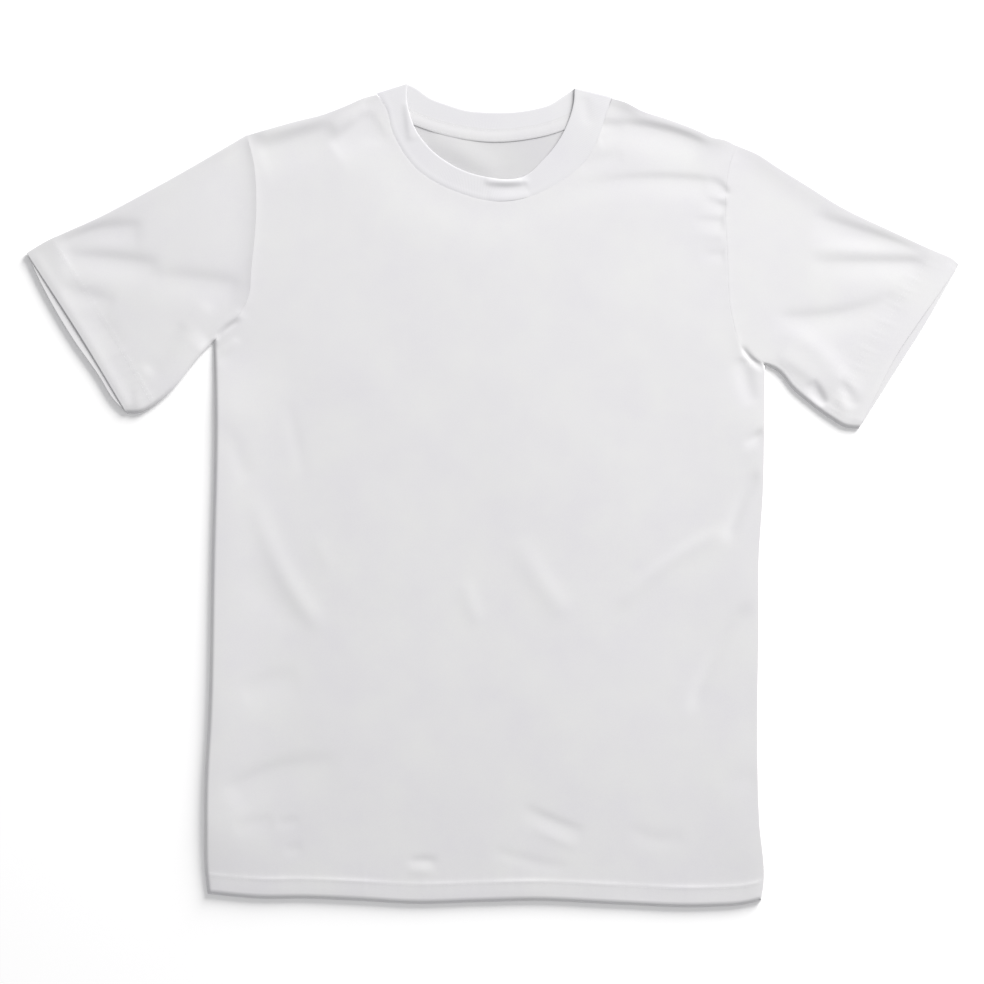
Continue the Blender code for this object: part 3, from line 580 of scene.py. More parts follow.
def hem_profile(positions, rows, along, rise):
    """A turned-up hem across its width: 1 on the turned-up band, and the relief of its sewing,
    with the step up to the double layer, a groove at each row of stitches, a welt between
    them and small ripples."""
    middle = sum(rows) / 2
    band = 1 / (1 + np.exp((positions - rows[1]) / HEM_STEP))
    short_wave, long_wave = HEM_WAVES
    uneven = 1 + HEM_UNEVEN * np.sin(along / short_wave) * np.sin(along / long_wave + 1)
    welt = HEM_WELT * bell(positions - middle, HEM_WELT_WIDTH)
    grooves = sum(-HEM_GROOVE * bell(positions - row, HEM_GROOVE_WIDTH) for row in rows)
    ripples = HEM_RIPPLE * pucker(along, np.abs(positions - middle), HEM_RIPPLE_REACH)
    return band, rise * uneven * (band + welt + grooves) + ripples


def rim_round(positions, wall):
    """How much a hem's turned edge narrows its wall on each side, as a rounded fold."""
    reach = np.clip(1 - positions / (wall / 2), 0, 1)
    return wall / 2 * (1 - np.sqrt(1 - 0.8 * reach**2))


def along_seams(shift, seams):
    """On a seam or a hem's edge a point moves along that line, so the gap there stays even."""
    on_seam = np.abs(seams).sum(-1) > 0
    sign = np.sign((shift * seams).sum(-1))
    kept = seams * (sign * np.linalg.norm(shift, axis=-1))[..., None]
    return np.where(on_seam[..., None], kept, shift)


def walled(plan, height, depth, facing, inward, wall, seams, rim):
    """Outer and inner points of a layer that faces up or down, from its outer face's height
    and its depth there, with its rim rounded."""
    inner_plan = plan + along_seams(inward * wall[..., None], seams)
    outer = np.dstack([plan, height - facing * rim])
    return outer, np.dstack([inner_plan, height - facing * (depth - rim)])


def upper_layer(plan, folds, lowest_edge, seams, turned_up, relief, positions, floor):
    """Outer and inner points of a piece of the upper layer, which stays above its floor."""
    distance, inward, width, lift = folds
    flat = away_from_fold(distance)
    wall = WALL + turned_up * away_from_fold(distance, DOUBLE_START)
    top = smooth_max(loft(plan) + lift + relief * flat, floor)
    climb, depth = roll(distance, width, top - lowest_edge, wall)
    rim = rim_round(positions, wall) * flat
    return walled(plan, lowest_edge + climb, depth, 1, inward, wall, seams, rim)


def with_hem_edge(plan, folds, hem):
    """The folds and the hem's own edge together, and how low the rim hangs: along the hem it
    drops over the edge of the back, and at the corners it rests on it."""
    distance, inward, width, lift = folds
    from_hem, along, away = beside_line(plan, hem)
    drop = smooth_step((distance - CORNER_RESTS) / CORNER_DROPS) * (from_hem < HEM_BAND)
    lowest = LOWEST_EDGE + (LOWEST_HEM - LOWEST_EDGE) * drop
    inward = inward + directions_from(hem, from_hem, along, away) * turns_in(from_hem, HEM_ROLL)
    width = np.where(from_hem < distance, HEM_ROLL, width)
    return (np.minimum(distance, from_hem), inward, width, lift), lowest


def back_layer(plan, folds, turned_up, relief, positions):
    """Outer points, which lie on the surface, and inner points of the back panel."""
    flat = away_from_fold(folds[0])
    wall = BACK_TOP + turned_up * away_from_fold(folds[0], DOUBLE_START)
    rim = rim_round(positions, wall) * flat
    under = relief * flat
    return np.dstack([plan, under + rim]), np.dstack([plan, under + wall - rim])


def under_layer(plan, folds, seams, turned_up, positions):
    """Outer and inner points of the lower layer of a sleeve, which rolls up at its folds."""
    distance, inward, _, lift = folds
    wall = WALL + turned_up * away_from_fold(distance, DOUBLE_START)
    climb, depth = roll(distance, UNDER_ROLL, FOLD_TIP, wall)
    stand = lift + cuff_stand(positions) * smooth_step(distance / FOLD_MARGIN)
    rim = rim_round(positions, wall) * away_from_fold(distance)
    return walled(plan, FOLD_TIP - climb + stand, depth, -1, inward, wall, seams, rim)


def cuff_stand(positions):
    """How far the lower layer of a sleeve stands off the surface near its cuff."""
    return CUFF_STAND * bell(positions, CUFF_STAND_REACH) + CUFF_CURL * bell(positions, CUFF_CURL_REACH)


# ---------------------------------------------------------------- plans of the pieces


def patch(hemmed, seamed, first_edge, last_edge, positions, lengths):
    """Plan of a piece: rows run along it from the hemmed edge to the seamed one, and each
    column has its own row positions. The two side edges pass through their own points."""
    share = positions / lengths
    straight = (1 - share)[..., None] * hemmed + share[..., None] * seamed
    blend = np.linspace(0, 1, len(hemmed))[None, :, None]
    first = (first_edge - straight[:, 0])[:, None]
    last = (last_edge - straight[:, -1])[:, None]
    return straight + (1 - blend) * first + blend * last


def relaxed(plan, across_steps, along_steps):
    """The plan with its inner points drawn to the middle of their neighbours, so that the
    columns fan out where two edges meet in nearly one line."""
    plan = plan.copy()
    weights = []
    for steps, shape in ((along_steps, (-1, 1, 1)), (across_steps, (1, -1, 1))):
        gaps = np.diff(steps)
        total = gaps[:-1] + gaps[1:]
        weights.append([(1 / (gap * total)).reshape(shape) for gap in (gaps[:-1], gaps[1:])])
    (before, after), (right, left) = weights
    total = before + after + right + left
    for _ in range(RELAX_SWEEPS):
        plan[1:-1, 1:-1] = (
            before * plan[:-2, 1:-1]
            + after * plan[2:, 1:-1]
            + right * plan[1:-1, :-2]
            + left * plan[1:-1, 2:]
        ) / total
    rule(plan[::-1], along_steps[-1] - along_steps[::-1])
    rule(plan.swapaxes(0, 1), across_steps)
    rule(plan[:, ::-1].swapaxes(0, 1), across_steps[-1] - across_steps[::-1])
    return plan


def rule(rows, steps):
    """Lays the close rows beside an edge on straight lines to the row that ends them, so that
    they stay in order where two edges meet in nearly one line."""
    last = len(EDGE_STEPS) - 1
    share = (steps[: last + 1] - steps[0]) / (steps[last] - steps[0])
    start, end = rows[0].copy(), rows[last].copy()
    rows[: last + 1] = start + share[:, None, None] * (end - start)


def armhole_points(side, pitches):
    """The armhole from the underarm to the shoulder tip."""
    line = outline("underarm", "shoulder", ARMHOLE, side)
    return at_lengths(line, stepped(reach_along(line)[-1], EDGE_STEPS, pitches, EDGE_STEPS))


def neck_points(name, bows, pitch):
    line = across(name, bows)
    length = reach_along(line)[-1]
    return at_lengths(line, np.linspace(0, length, round(length / pitch) + 1))


def body_plan(neck_bows, hem, side_pitch, armhole_pitch, shoulder_pitch, neck_pitch):
    """Plan of a body panel, how far up from the hem's edge each point is, and the directions
    of its seams."""
    sides = {}
    for side in (RIGHT, LEFT):
        seam = outline("hem", "underarm", SIDE_SEAM, side)
        length = reach_along(seam)[-1]
        up_seam = stepped(length, HEM_STEPS, side_pitch, EDGE_STEPS)[:-1]
        armhole = armhole_points(side, armhole_pitch)
        up_armhole = length + reach_along(armhole)
        points = np.vstack([at_lengths(seam, up_seam), moved_aside(armhole, side * SEAM_GAP / 2)])
        sides[side] = points, np.r_[up_seam, up_armhole]
    (right, height), (left, left_height) = sides[RIGHT], sides[LEFT]
    left = at_lengths(left, np.interp(height / height[-1], left_height / left_height[-1], reach_along(left)))
    shoulders = {}
    for side in (RIGHT, LEFT):
        line = outline("shoulder", "neck", SHOULDER_LINE, side)
        steps = stepped(reach_along(line)[-1], EDGE_STEPS, shoulder_pitch, (0.0,))
        shoulders[side] = at_lengths(line, steps)
    neck = moved_aside(neck_points("neck", neck_bows, neck_pitch), -SEAM_GAP / 2)
    top = np.vstack([shoulders[RIGHT][:-1], neck, shoulders[LEFT][-2::-1]])
    top[0], top[-1] = right[-1], left[-1]
    hem = hem_points(top, hem)
    lengths = np.linalg.norm(top - hem, axis=1)
    low, high = HEM_STEPS[-1], EDGE_STEPS[-1]
    share = (height - low) / (height[-1] - low - high)
    positions = low + share[:, None] * (lengths - low - high)
    positions[: len(HEM_STEPS)] = np.array(HEM_STEPS)[:, None]
    positions[-len(EDGE_STEPS) :] = lengths - np.array(EDGE_STEPS[::-1])[:, None]
    plan = patch(hem, top, right, left, positions, lengths)
    seams = np.zeros_like(plan)
    neck_columns = slice(len(shoulders[RIGHT]) - 1, len(top) - len(shoulders[LEFT]) + 1)
    seams[-1, neck_columns] = tangents(plan[-1, neck_columns])
    for column, armhole in ((0, RIGHT), (-1, LEFT)):
        rows = height >= height[-1] - reach_along(armhole_points(armhole, armhole_pitch))[-1]
        seams[rows, column] = tangents(plan[rows, column])
    return plan, positions, seams


def hem_points(top, line):
    """The hem's edge, with a point under each point of the top edge."""
    edge = len(EDGE_STEPS) - 1
    inner = slice(edge, len(top) - edge)
    by_x = (top[inner, 0] - top[edge, 0]) / (top[-1 - edge, 0] - top[edge, 0])
    share = (by_x + np.linspace(0, 1, len(by_x))) / 2
    length, margin = reach_along(line)[-1], EDGE_STEPS[-1]
    middle = margin + (length - 2 * margin) * share
    return at_lengths(line, np.r_[EDGE_STEPS[:-1], middle, length - np.array(EDGE_STEPS[-2::-1])])


def sleeve_plan(side, cuff_bows):
    """Plan of one layer of a sleeve, cuff to armhole, from the underarm's edge to the top's."""
    pitches = ((0.0, SLEEVE_PITCH), (1.0, SLEEVE_PITCH))
    seamed = moved_aside(armhole_points(side, pitches), -side * SEAM_GAP / 2)
    cuff = outline("cuff_low", "cuff_top", cuff_bows, side)
    way = reach_along(seamed)
    hemmed = at_lengths(cuff, way / way[-1] * reach_along(cuff)[-1])
    lengths = np.linalg.norm(seamed - hemmed, axis=1)
    low, high = CUFF_STEPS[-1], EDGE_STEPS[-1]
    share = np.linspace(0, 1, SLEEVE_SPANS + 1)[1:-1, None]
    positions = np.vstack(
        [
            np.repeat(np.array(CUFF_STEPS)[:, None], len(lengths), axis=1),
            low + share * (lengths - low - high),
            lengths - np.array(EDGE_STEPS[::-1])[:, None],
        ]
    )
    under = outline("underarm", "cuff_low", UNDER_SLEEVE, side)[::-1]
    top = outline("cuff_top", "shoulder", SLEEVE_TOP, side)
    edge_points = []
    for line, column in ((under, 0), (top, -1)):
        along = positions[:, column] / lengths[column] * reach_along(line)[-1]
        points = at_lengths(line, along)
        points[-1] = seamed[column]
        edge_points.append(points)
    plan = patch(hemmed, seamed, *edge_points, positions, lengths)
    hem_fold = len(CUFF_STEPS) - 1
    plan[hem_fold:] = relaxed(plan[hem_fold:], way, positions[hem_fold:].mean(axis=1))
    seams = np.zeros_like(plan)
    seams[0], seams[-1] = tangents(plan[0]), tangents(plan[-1])
    return plan, positions, seams, way


# ---------------------------------------------------------------- meshes


def placed_grid(points, knit):
    """A bmesh grid of the points, in metres. Each vertex is marked by its place in the array,
    and the knit's own coordinates go on a UV map, also in metres."""
    rows, columns = points.shape[:2]
    mesh = bmesh.new()
    mark = mesh.verts.layers.int.new("place")
    knit_map = mesh.loops.layers.uv.new("knit")
    bmesh.ops.create_grid(mesh, x_segments=columns - 1, y_segments=rows - 1, size=1)
    flat, flat_knit = points.reshape(-1, 3) * MM, knit.reshape(-1, 2) * MM
    for vertex in mesh.verts:
        column = round((vertex.co.x + 1) / 2 * (columns - 1))
        row = round((vertex.co.y + 1) / 2 * (rows - 1))
        vertex[mark] = row * columns + column
        vertex.co = flat[vertex[mark]]
    for face in mesh.faces:
        for loop in face.loops:
            loop[knit_map].uv = flat_knit[loop.vert[mark]]
    bmesh.ops.remove_doubles(mesh, verts=mesh.verts, dist=0.005 * MM)
    return mesh, mark


def placed(name, data):
    """A new object of the scene, at the origin."""
    made = bpy.data.objects.new(name, data)
    bpy.context.scene.collection.objects.link(made)
    return made


def finished(name, mesh, *materials):
    """A piece of the shirt from its mesh, smooth but for its sharp edges."""
    bmesh.ops.recalc_face_normals(mesh, faces=mesh.faces)
    data = bpy.data.meshes.new(name)
    mesh.to_mesh(data)
    mesh.free()
    data.shade_smooth()
    data.set_sharp_from_angle(angle=np.radians(60))
    for material in materials:
        data.materials.append(material)
    piece = placed(name, data)
    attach(piece, "root")
    return piece


def shell(name, outer, inner, knit, *materials):
    """A closed wall between its outer and inner points, with its rims filled. Where the first
    and last columns are the same points, it is a tube. A second material goes on its inside."""
    mesh, mark = placed_grid(outer, knit)
    made = bmesh.ops.extrude_face_region(mesh, geom=mesh.faces[:])["geom"]
    flat = inner.reshape(-1, 3) * MM
    for part in made:
        if isinstance(part, bmesh.types.BMVert):
            part.co = flat[part[mark]]
        elif isinstance(part, bmesh.types.BMFace):
            part.material_index = len(materials) - 1
    return finished(name, mesh, *materials)


def stitches(name, rows, material):
    """Rows of thread on the cloth. Each row is a line of points and the side that it lies on,
    up or down. Each stitch dips into the cloth at both ends."""
    curve = bpy.data.curves.new(name, "CURVE")
    curve.dimensions = "3D"
    curve.bevel_depth = THREAD / 2 * MM
    curve.bevel_resolution = 1
    curve.use_fill_caps = True
    bend = np.array([-1.3, -0.5, -0.5, -1.3]) * THREAD / 2
    for line, up in rows:
        length = reach_along(line)[-1]
        for start in np.arange(STITCH_PITCH, length - STITCH_PITCH, STITCH_PITCH):
            points = at_lengths(line, start + STITCH_LENGTH * np.array([0, 0.2, 0.8, 1]))
            points[:, 2] += up * bend
            spline = curve.splines.new("POLY")
            spline.points.add(3)
            for place, point, radius in zip(spline.points, points, (0.6, 1, 1, 0.6)):
                place.co = (*(point * MM), 1)
                place.radius = radius
    laid = bpy.data.objects.new(name, curve)
    data = bpy.data.meshes.new_from_object(laid)
    bpy.data.objects.remove(laid)
    data.name = name
    data.shade_smooth()
    data.materials.clear()
    data.materials.append(material)
    piece = placed(name, data)
    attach(piece, "root")
    return piece


# ---------------------------------------------------------------- pieces


def make_front(material):
    pitches = UP_THE_SIDE, ROUND_THE_ARMHOLE, ALONG_THE_SHOULDER, NECK_PITCH
    hem = across("hem", FRONT_HEM)
    plan, positions, seams = body_plan(FRONT_NECK_SEAM, hem, *pitches)
    band, relief = hem_profile(positions, HEM_ROWS, plan[..., 0], HEM_RISE)
    relief += crease_relief(plan, CREASES) + swell_relief(plan)
    for side in (RIGHT, LEFT):
        relief += armhole_relief(plan, side, on_sleeve=False)
    relief += neck_seam_relief(plan, across("neck", FRONT_NECK_SEAM))
    edges, lowest = with_hem_edge(plan, folds_beside(plan), hem)
    turned_up = TURN_UP * band
    floor = BACK_TOP + PANEL_GAP + WALL + turned_up
    outer, inner = upper_layer(plan, edges, lowest, seams, turned_up, relief, positions, floor)
    piece = shell("front_jersey", outer, inner, plan, material)
    rows = [(outer[HEM_STEPS.index(row), 3:-3], 1) for row in HEM_ROWS]
    return piece, rows


def make_back(material, inside):
    hem = across("hem", BACK_HEM)
    plan, positions, _ = body_plan(BACK_NECK_SEAM, hem, *[BACK_PITCH] * 3, BACK_NECK_PITCH)
    band, _ = hem_profile(positions, HEM_ROWS, plan[..., 0], HEM_RISE)
    relief = crease_relief(plan, BACK_CREASES)
    outer, inner = back_layer(plan, folds_beside(plan), TURN_UP * band, relief, positions)
    piece = shell("back_jersey", outer, inner, plan, material, inside)
    rows = [(outer[HEM_STEPS.index(row), 3:-3] + [0, 0, THREAD], -1) for row in HEM_ROWS]
    return piece, rows


def make_sleeve(side, material):
    """A flattened tube: the upper layer from the underarm to the top, then the lower back."""
    layers, rows, knit = [], [], []
    for cuff, is_upper in ((CUFF_UPPER, True), (CUFF_LOWER, False)):
        plan, positions, seams, way = sleeve_plan(side, cuff)
        round_cuff = np.broadcast_to(way, positions.shape)
        band, relief = hem_profile(positions, CUFF_ROWS, round_cuff, CUFF_RISE)
        press = bell(positions, PRESSED_REACH)
        turned_up = CUFF_TURN_UP * band - (CUFF_PRESSED if is_upper else UNDER_PRESSED) * press
        folds = folds_beside(plan)
        distance, _, _, lift = folds
        if is_upper:
            relief += crease_relief(plan, CREASES) + swell_relief(plan)
            relief += armhole_relief(plan, side, on_sleeve=True)
            relief += CUFF_TILT * (1 - smooth_step(positions / CUFF_ROWS[0]))
            pressed = (CUFF_PRESSED + UNDER_PRESSED) * press
            stand = cuff_stand(positions)
            meets = stand + 2 * (WALL + CUFF_TURN_UP * band) - pressed + LAYER_GAP
            relief += (meets - loft(plan) - relief) * bell(positions, CUFF_MEETS_REACH)
            doubled = 2 * CUFF_TURN_UP * smooth_step((DOUBLE_END - positions) / DOUBLE_FADE) - pressed
            both_walls = 2 * WALL + doubled * away_from_fold(distance, DOUBLE_START)
            floor = stand * smooth_step(distance / FOLD_MARGIN) + lift + both_walls - FLOOR_EASE
            lowest = FOLD_TIP + lift
            outer, inner = upper_layer(plan, folds, lowest, seams, turned_up, relief, positions, floor)
        else:
            outer, inner = under_layer(plan, folds, seams, turned_up, positions)
        layers.append((outer, inner))
        knit.append(np.dstack([round_cuff if is_upper else 2 * way[-1] - round_cuff, positions]))
        proud = [0, 0, 0 if is_upper else THREAD]
        for row in CUFF_ROWS:
            rows.append((outer[CUFF_STEPS.index(row), 3:-3] + proud, 1 if is_upper else -1))
    rings = [np.hstack([up, low[:, -2:0:-1], up[:, :1]]) for up, low in zip(*layers)]
    closing = knit[0][:, :1] + [2 * way[-1], 0]
    knit = np.hstack([knit[0], knit[1][:, -2:0:-1], closing])
    piece = shell(f"sleeve_{SIDE_NAMES[side]}_jersey", *rings, knit, material)
    return piece, rows


def band_section(dip, in_front):
    """Across the band from its seam to its free edge and back: the distance from the seam and
    the height above or below the middle of the cloth. The dip at the seam is a share of the
    cloth's half thickness. The seam's allowance makes a soft ridge beside it, and the free
    edge is a pressed fold, where the hidden face eases to the one that shows: in front that is
    the outer one, behind the inner one."""
    half, edge = RIB_WALL / 2, RIB_EDGE_WALL / 2
    spans = round(BAND_WIDTH / BAND_PITCH)
    distance = np.r_[0, 0.5, 1.1, np.linspace(2.0, BAND_WIDTH - edge, spans)]
    groove = -dip * half * bell(distance, BAND_DIP_WIDTH)
    ridge = BAND_RIDGE * bell(distance - BAND_RIDGE_PLACE, BAND_RIDGE_WIDTH)
    ease = 2 * (half - edge) * bell(BAND_WIDTH - edge - distance, BAND_EASE)
    turn = np.radians([30, 60, 90, 120, 150])
    rounded = BAND_WIDTH - edge + edge * np.sin(turn)
    outer = half + groove + ridge - (1 - in_front) * ease
    inner = in_front * ease - half - groove
    heights = np.r_[outer, (2 * in_front - 1) * (half - edge) + edge * np.cos(turn), inner[::-1]]
    return np.r_[distance, rounded, distance[::-1]], heights


def band_ring(seam, free, height, normal, dip=BAND_DIP):
    """Points of the band round one station: seam and free end in plan, the height of the
    cloth's middle, and the direction its outer face looks."""
    along, side = band_section(dip, (1 + normal[2]) / 2)
    share = (along / BAND_WIDTH)[:, None]
    start, end = np.array([*seam, height]), np.array([*free, height])
    return start + share * (end - start) + side[:, None] * normal


def band_turn(seam, free, high, low, outward):
    """The rings that take the band round its fold, from the height high to the height low."""
    angles = np.linspace(90, -90, BAND_TURN_SPANS + 1)[1:-1]
    radius = abs(high - low) / 2
    rings = []
    for angle in np.radians(angles if high > low else -angles):
        reach = np.array([*outward, 0]) * np.cos(angle) + np.array([0, 0, 1.0]) * np.sin(angle)
        middle = (high + low) / 2
        rings.append(band_ring(seam, free, middle, reach) + radius * reach)
    return rings


def make_neckband(material):
    """One ring of doubled rib: along the front, round the left fold, back along the inside
    of the neck, and round the right fold."""
    lines = {}
    for name, seam_bows, edge_bows in (
        ("front", FRONT_NECK_SEAM, FRONT_NECK_EDGE),
        ("back", BACK_NECK_SEAM, BACK_NECK_EDGE),
    ):
        seam = moved_aside(neck_points("neck", seam_bows, BAND_PITCH), SEAM_GAP / 2)
        edge = across("apex", edge_bows)
        free = at_lengths(edge, np.linspace(0, reach_along(edge)[-1], len(seam)))
        lines[name] = seam, free
    (front_seam, front_free), (back_seam, back_free) = lines["front"], lines["back"]
    for end in (0, -1):
        back_seam[end] = front_seam[end]
    back_height = RIB_WALL / 2
    turns = {}
    for side, end in ((RIGHT, 0), (LEFT, -1)):
        way = front_free[end] - front_seam[end]
        outward = -side * np.array([-way[1], way[0]]) / np.linalg.norm(way)
        heights = (BAND_HEIGHT, back_height) if side == LEFT else (back_height, BAND_HEIGHT)
        turns[side] = band_turn(front_seam[end], front_free[end], *heights, outward)
    share = reach_along(front_seam) / reach_along(front_seam)[-1]
    up, down = np.array([0, 0, 1.0]), np.array([0, 0, -1.0])
    stations = zip(front_seam, front_free, band_height(share), BAND_DIP * seam_shows(share))
    front = np.array([band_ring(start, end, height, up, dip) for start, end, height, dip in stations])
    relief = crease_relief(front[..., :2], BAND_CREASES) + BAND_SWELLS * swell_relief(front[..., :2])
    ends = np.clip(np.minimum(np.arange(len(front)), np.arange(len(front))[::-1]) / BAND_ENDS, 0, 1)
    front[..., 2] += relief * ends[:, None]
    front[..., 2] += np.maximum(BACK_TOP + BAND_REST - front[..., 2].min(axis=1), 0)[:, None]
    stations = zip(back_seam[::-1], back_free[::-1])
    back = [band_ring(start, end, back_height, down) for start, end in stations]
    rings = [*front, *turns[LEFT], *back, *turns[RIGHT]]
    rings.append(rings[0])
    points = np.array(rings)
    points[..., 2] = np.maximum(points[..., 2], 0)
    points = np.concatenate([points, points[:, :1]], axis=1)
    along = reach_along(points[:, 0])
    round_section = reach_along(points[0])
    knit = np.dstack(np.meshgrid(along, round_section, indexing="ij"))
    mesh, _ = placed_grid(points, knit)
    return finished("neckband_rib", mesh, material)


def make_tape(material):
    """The strip over the back neck seam: it lies on the band, where it ends thin, and steps
    down to the panel, where its edge is crisp."""
    seam = across("neck", BACK_NECK_SEAM)
    ends = [share * reach_along(seam)[-1] for share in TAPE_SHARES]
    seam = at_lengths(seam, np.arange(*ends, BAND_PITCH))
    on_band, on_panel = RIB_WALL + TAPE_REST, BACK_TOP + LAYER_GAP
    half = TAPE_WIDTH / 2
    offsets = np.r_[half, half - 0.8, half - 1.8, np.linspace(half - 3.0, 3.2 - half, 7),
                    2.0 - half, 1.1 - half, 0.4 - half, -half]
    bottom = on_panel + (on_band - on_panel) * smooth_step((offsets + TAPE_STEP) / TAPE_STEP)
    thick = smooth_step((half - offsets) / TAPE_CROWN)
    crown = TAPE_EDGE_WALL + (TAPE_WALL - TAPE_EDGE_WALL) * thick
    crown = crown - TAPE_CRISP * bell(offsets + half, TAPE_CRISP_WIDTH)
    plan = np.stack([moved_aside(seam, offset) for offset in offsets], axis=0)
    along = reach_along(seam)
    edge = half - np.abs(offsets)
    along_each = np.broadcast_to(along, plan.shape[:2])
    ripple = TAPE_RIPPLE * pucker(along_each, edge[:, None], TAPE_RIPPLE_REACH, size=TAPE_RIPPLE_SIZE)
    bottom = np.repeat(bottom[:, None], len(seam), axis=1)
    outer = np.dstack([plan, bottom + crown[:, None] + ripple])
    knit = np.dstack(np.meshgrid(offsets, along, indexing="ij"))
    piece = shell("neck_tape_jersey", outer, np.dstack([plan, bottom]), knit, material)
    rows = [(outer[2], 1), (outer[-4], 1)]
    return piece, rows


# ---------------------------------------------------------------- materials


def linear(hex_colour):
    """An sRGB hex colour as linear RGBA."""
    srgb = np.array([int(hex_colour[i : i + 2], 16) / 255 for i in (0, 2, 4)])
    return (*np.where(srgb <= 0.04045, srgb / 12.92, ((srgb + 0.055) / 1.055) ** 2.4), 1.0)


def add(tree, kind, settings=None, output=0, **inputs):
    """A node with its settings and its inputs, each of them a value or another socket. An
    input's name is its label with _ for a space, and _ before a number is its place."""
    made = tree.nodes.new(f"ShaderNode{kind}")
    for name, value in (settings or {}).items():
        setattr(made, name, value)
    for name, value in inputs.items():
        socket = made.inputs[int(name[1:]) if name[1:].isdigit() else name.replace("_", " ")]
        if isinstance(value, bpy.types.NodeSocket):
            tree.links.new(value, socket)
        else:
            socket.default_value = value
    return made.outputs[output]


def new_material(name, colour, **values):
    """A material of one colour, and the values of its shader's other sockets."""
    material = bpy.data.materials.new(name)
    material.use_nodes = True
    shader = material.node_tree.nodes["Principled BSDF"]
    for label, value in {"Base_Color": linear(colour), "Metallic": 0.0, **values}.items():
        shader.inputs[label.replace("_", " ")].default_value = value
    return material, material.node_tree, shader


WALE, COURSE = 1.15, 0.85  # columns and rows of the jersey; real ones are about 0.8 by 0.6 mm
RIB_PITCH = 1.6
# Each cloth's lightest and darkest white
CLOTH_TINT = ("DADADA", "D6D5D8")
RIB_TINT = ("D8D8D9", "D4D3D7")
# The purl side is a darker copy of the jersey: painted shade, for the shade inside the neck opening where
# the back's inside shows
PURL_SIDE_SHADE_TINT = ("CECECE", "CAC9CC")
# The tape is also a darker copy of the jersey: painted shade, for the shade inside the neck opening
TAPE_SHADE_TINT = ("D4D4D4", "D0CFD2")


def knitted(name, tints, roughness=0.88, specular=0.25):
    """Knitted cotton: the short fuzz that lifts its colour where the cloth turns away, the faint
    cloudiness of bleached cotton and the grain of its yarn. Also gives the place in the knit,
    as two numbers in metres."""
    fuzz = {"Sheen_Weight": 0.12, "Sheen_Roughness": 0.6}
    matt = {"Roughness": roughness, "Specular_IOR_Level": specular}
    material, tree, shader = new_material(name, tints[0], **matt, **fuzz)
    place = add(tree, "TexCoord", output="Object")
    clouds = add(tree, "TexNoise", Vector=place, Scale=18.0, Detail=3.0, Roughness=0.6)
    grain = add(tree, "TexNoise", Vector=place, Scale=900.0, Detail=1.0)
    both = add(tree, "Math", {"operation": "MULTIPLY_ADD"}, _0=grain, _1=0.5, _2=clouds)
    share = add(tree, "MapRange", Value=both, From_Min=0.5, From_Max=1.0)
    light, dark = (linear(tint) for tint in tints)
    tint = add(tree, "Mix", {"data_type": "RGBA"}, output=2, _0=share, _6=light, _7=dark)
    tree.links.new(tint, shader.inputs["Base Color"])
    knit = add(tree, "UVMap", {"uv_map": "knit"})
    return material, tree, *(add(tree, "SeparateXYZ", output=axis, _0=knit) for axis in (0, 1))


def ridges(tree, distance, pitch):
    """The height of soft ridges along a distance in the knit, a pitch apart."""
    turn = add(tree, "Math", {"operation": "MULTIPLY"}, _0=distance, _1=2 * np.pi / (pitch * MM))
    return add(tree, "Math", {"operation": "SINE"}, _0=turn)


def raise_loops(tree, height, strength, depth):
    """Lets the light see the height of the knit's loops."""
    bump = add(tree, "Bump", Height=height, Strength=strength, Distance=depth * MM)
    tree.links.new(bump, tree.nodes["Principled BSDF"].inputs["Normal"])


def jersey_material(name, tints):
    """White combed cotton single jersey: a matt face of small V-shaped stitches in columns."""
    material, tree, across_wales, along_wales = knitted(name, tints)
    column = add(tree, "Math", {"operation": "MULTIPLY"}, _0=across_wales, _1=1 / (WALE * MM))
    leg = add(tree, "Math", {"operation": "PINGPONG"}, _0=column, _1=0.5)
    row = add(tree, "Math", {"operation": "MULTIPLY"}, _0=along_wales, _1=1 / (COURSE * MM))
    slanted = add(tree, "Math", {"operation": "MULTIPLY_ADD"}, _0=leg, _1=1.2, _2=row)
    turn = add(tree, "Math", {"operation": "MULTIPLY"}, _0=slanted, _1=2 * np.pi)
    loops = add(tree, "Math", {"operation": "SINE"}, _0=turn)
    legs = add(tree, "Math", {"operation": "MULTIPLY"}, _0=column, _1=4 * np.pi)
    valleys = add(tree, "Math", {"operation": "COSINE"}, _0=legs)
    height = add(tree, "Math", {"operation": "MULTIPLY_ADD"}, _0=valleys, _1=-0.6, _2=loops)
    raise_loops(tree, height, strength=0.25, depth=0.04)
    return material


def purl_side_shade_material():
    """The inside of single jersey: rows of small half-round loops, its colour darker than the smooth face's
    as painted shade, for the shade that falls inside the neck opening."""
    name, matt = "cotton_jersey_purl_side_painted_shade", {"roughness": 0.92, "specular": 0.2}
    material, tree, across_wales, along_wales = knitted(name, PURL_SIDE_SHADE_TINT, **matt)
    wave = ridges(tree, across_wales, WALE)
    row = add(tree, "Math", {"operation": "MULTIPLY"}, _0=along_wales, _1=2 * np.pi / (COURSE * MM))
    bent = add(tree, "Math", {"operation": "MULTIPLY_ADD"}, _0=wave, _1=1.3, _2=row)
    loops = add(tree, "Math", {"operation": "SINE"}, _0=bent)
    raise_loops(tree, loops, strength=0.3, depth=0.05)
    return material


def rib_material():
    """1 x 1 cotton rib: close ridges across the band, softer and fuller than the jersey."""
    material, tree, along_band, across_band = knitted("cotton_rib", RIB_TINT)
    ribs, loops = ridges(tree, along_band, RIB_PITCH), ridges(tree, across_band, COURSE)
    height = add(tree, "Math", {"operation": "MULTIPLY_ADD"}, _0=loops, _1=0.25, _2=ribs)
    raise_loops(tree, height, strength=0.18, depth=0.06)
    return material


def thread_material():
    """Spun polyester sewing thread: a little whiter and glossier than the cotton."""
    return new_material("polyester_thread", "DEDEDF", Roughness=0.6)[0]


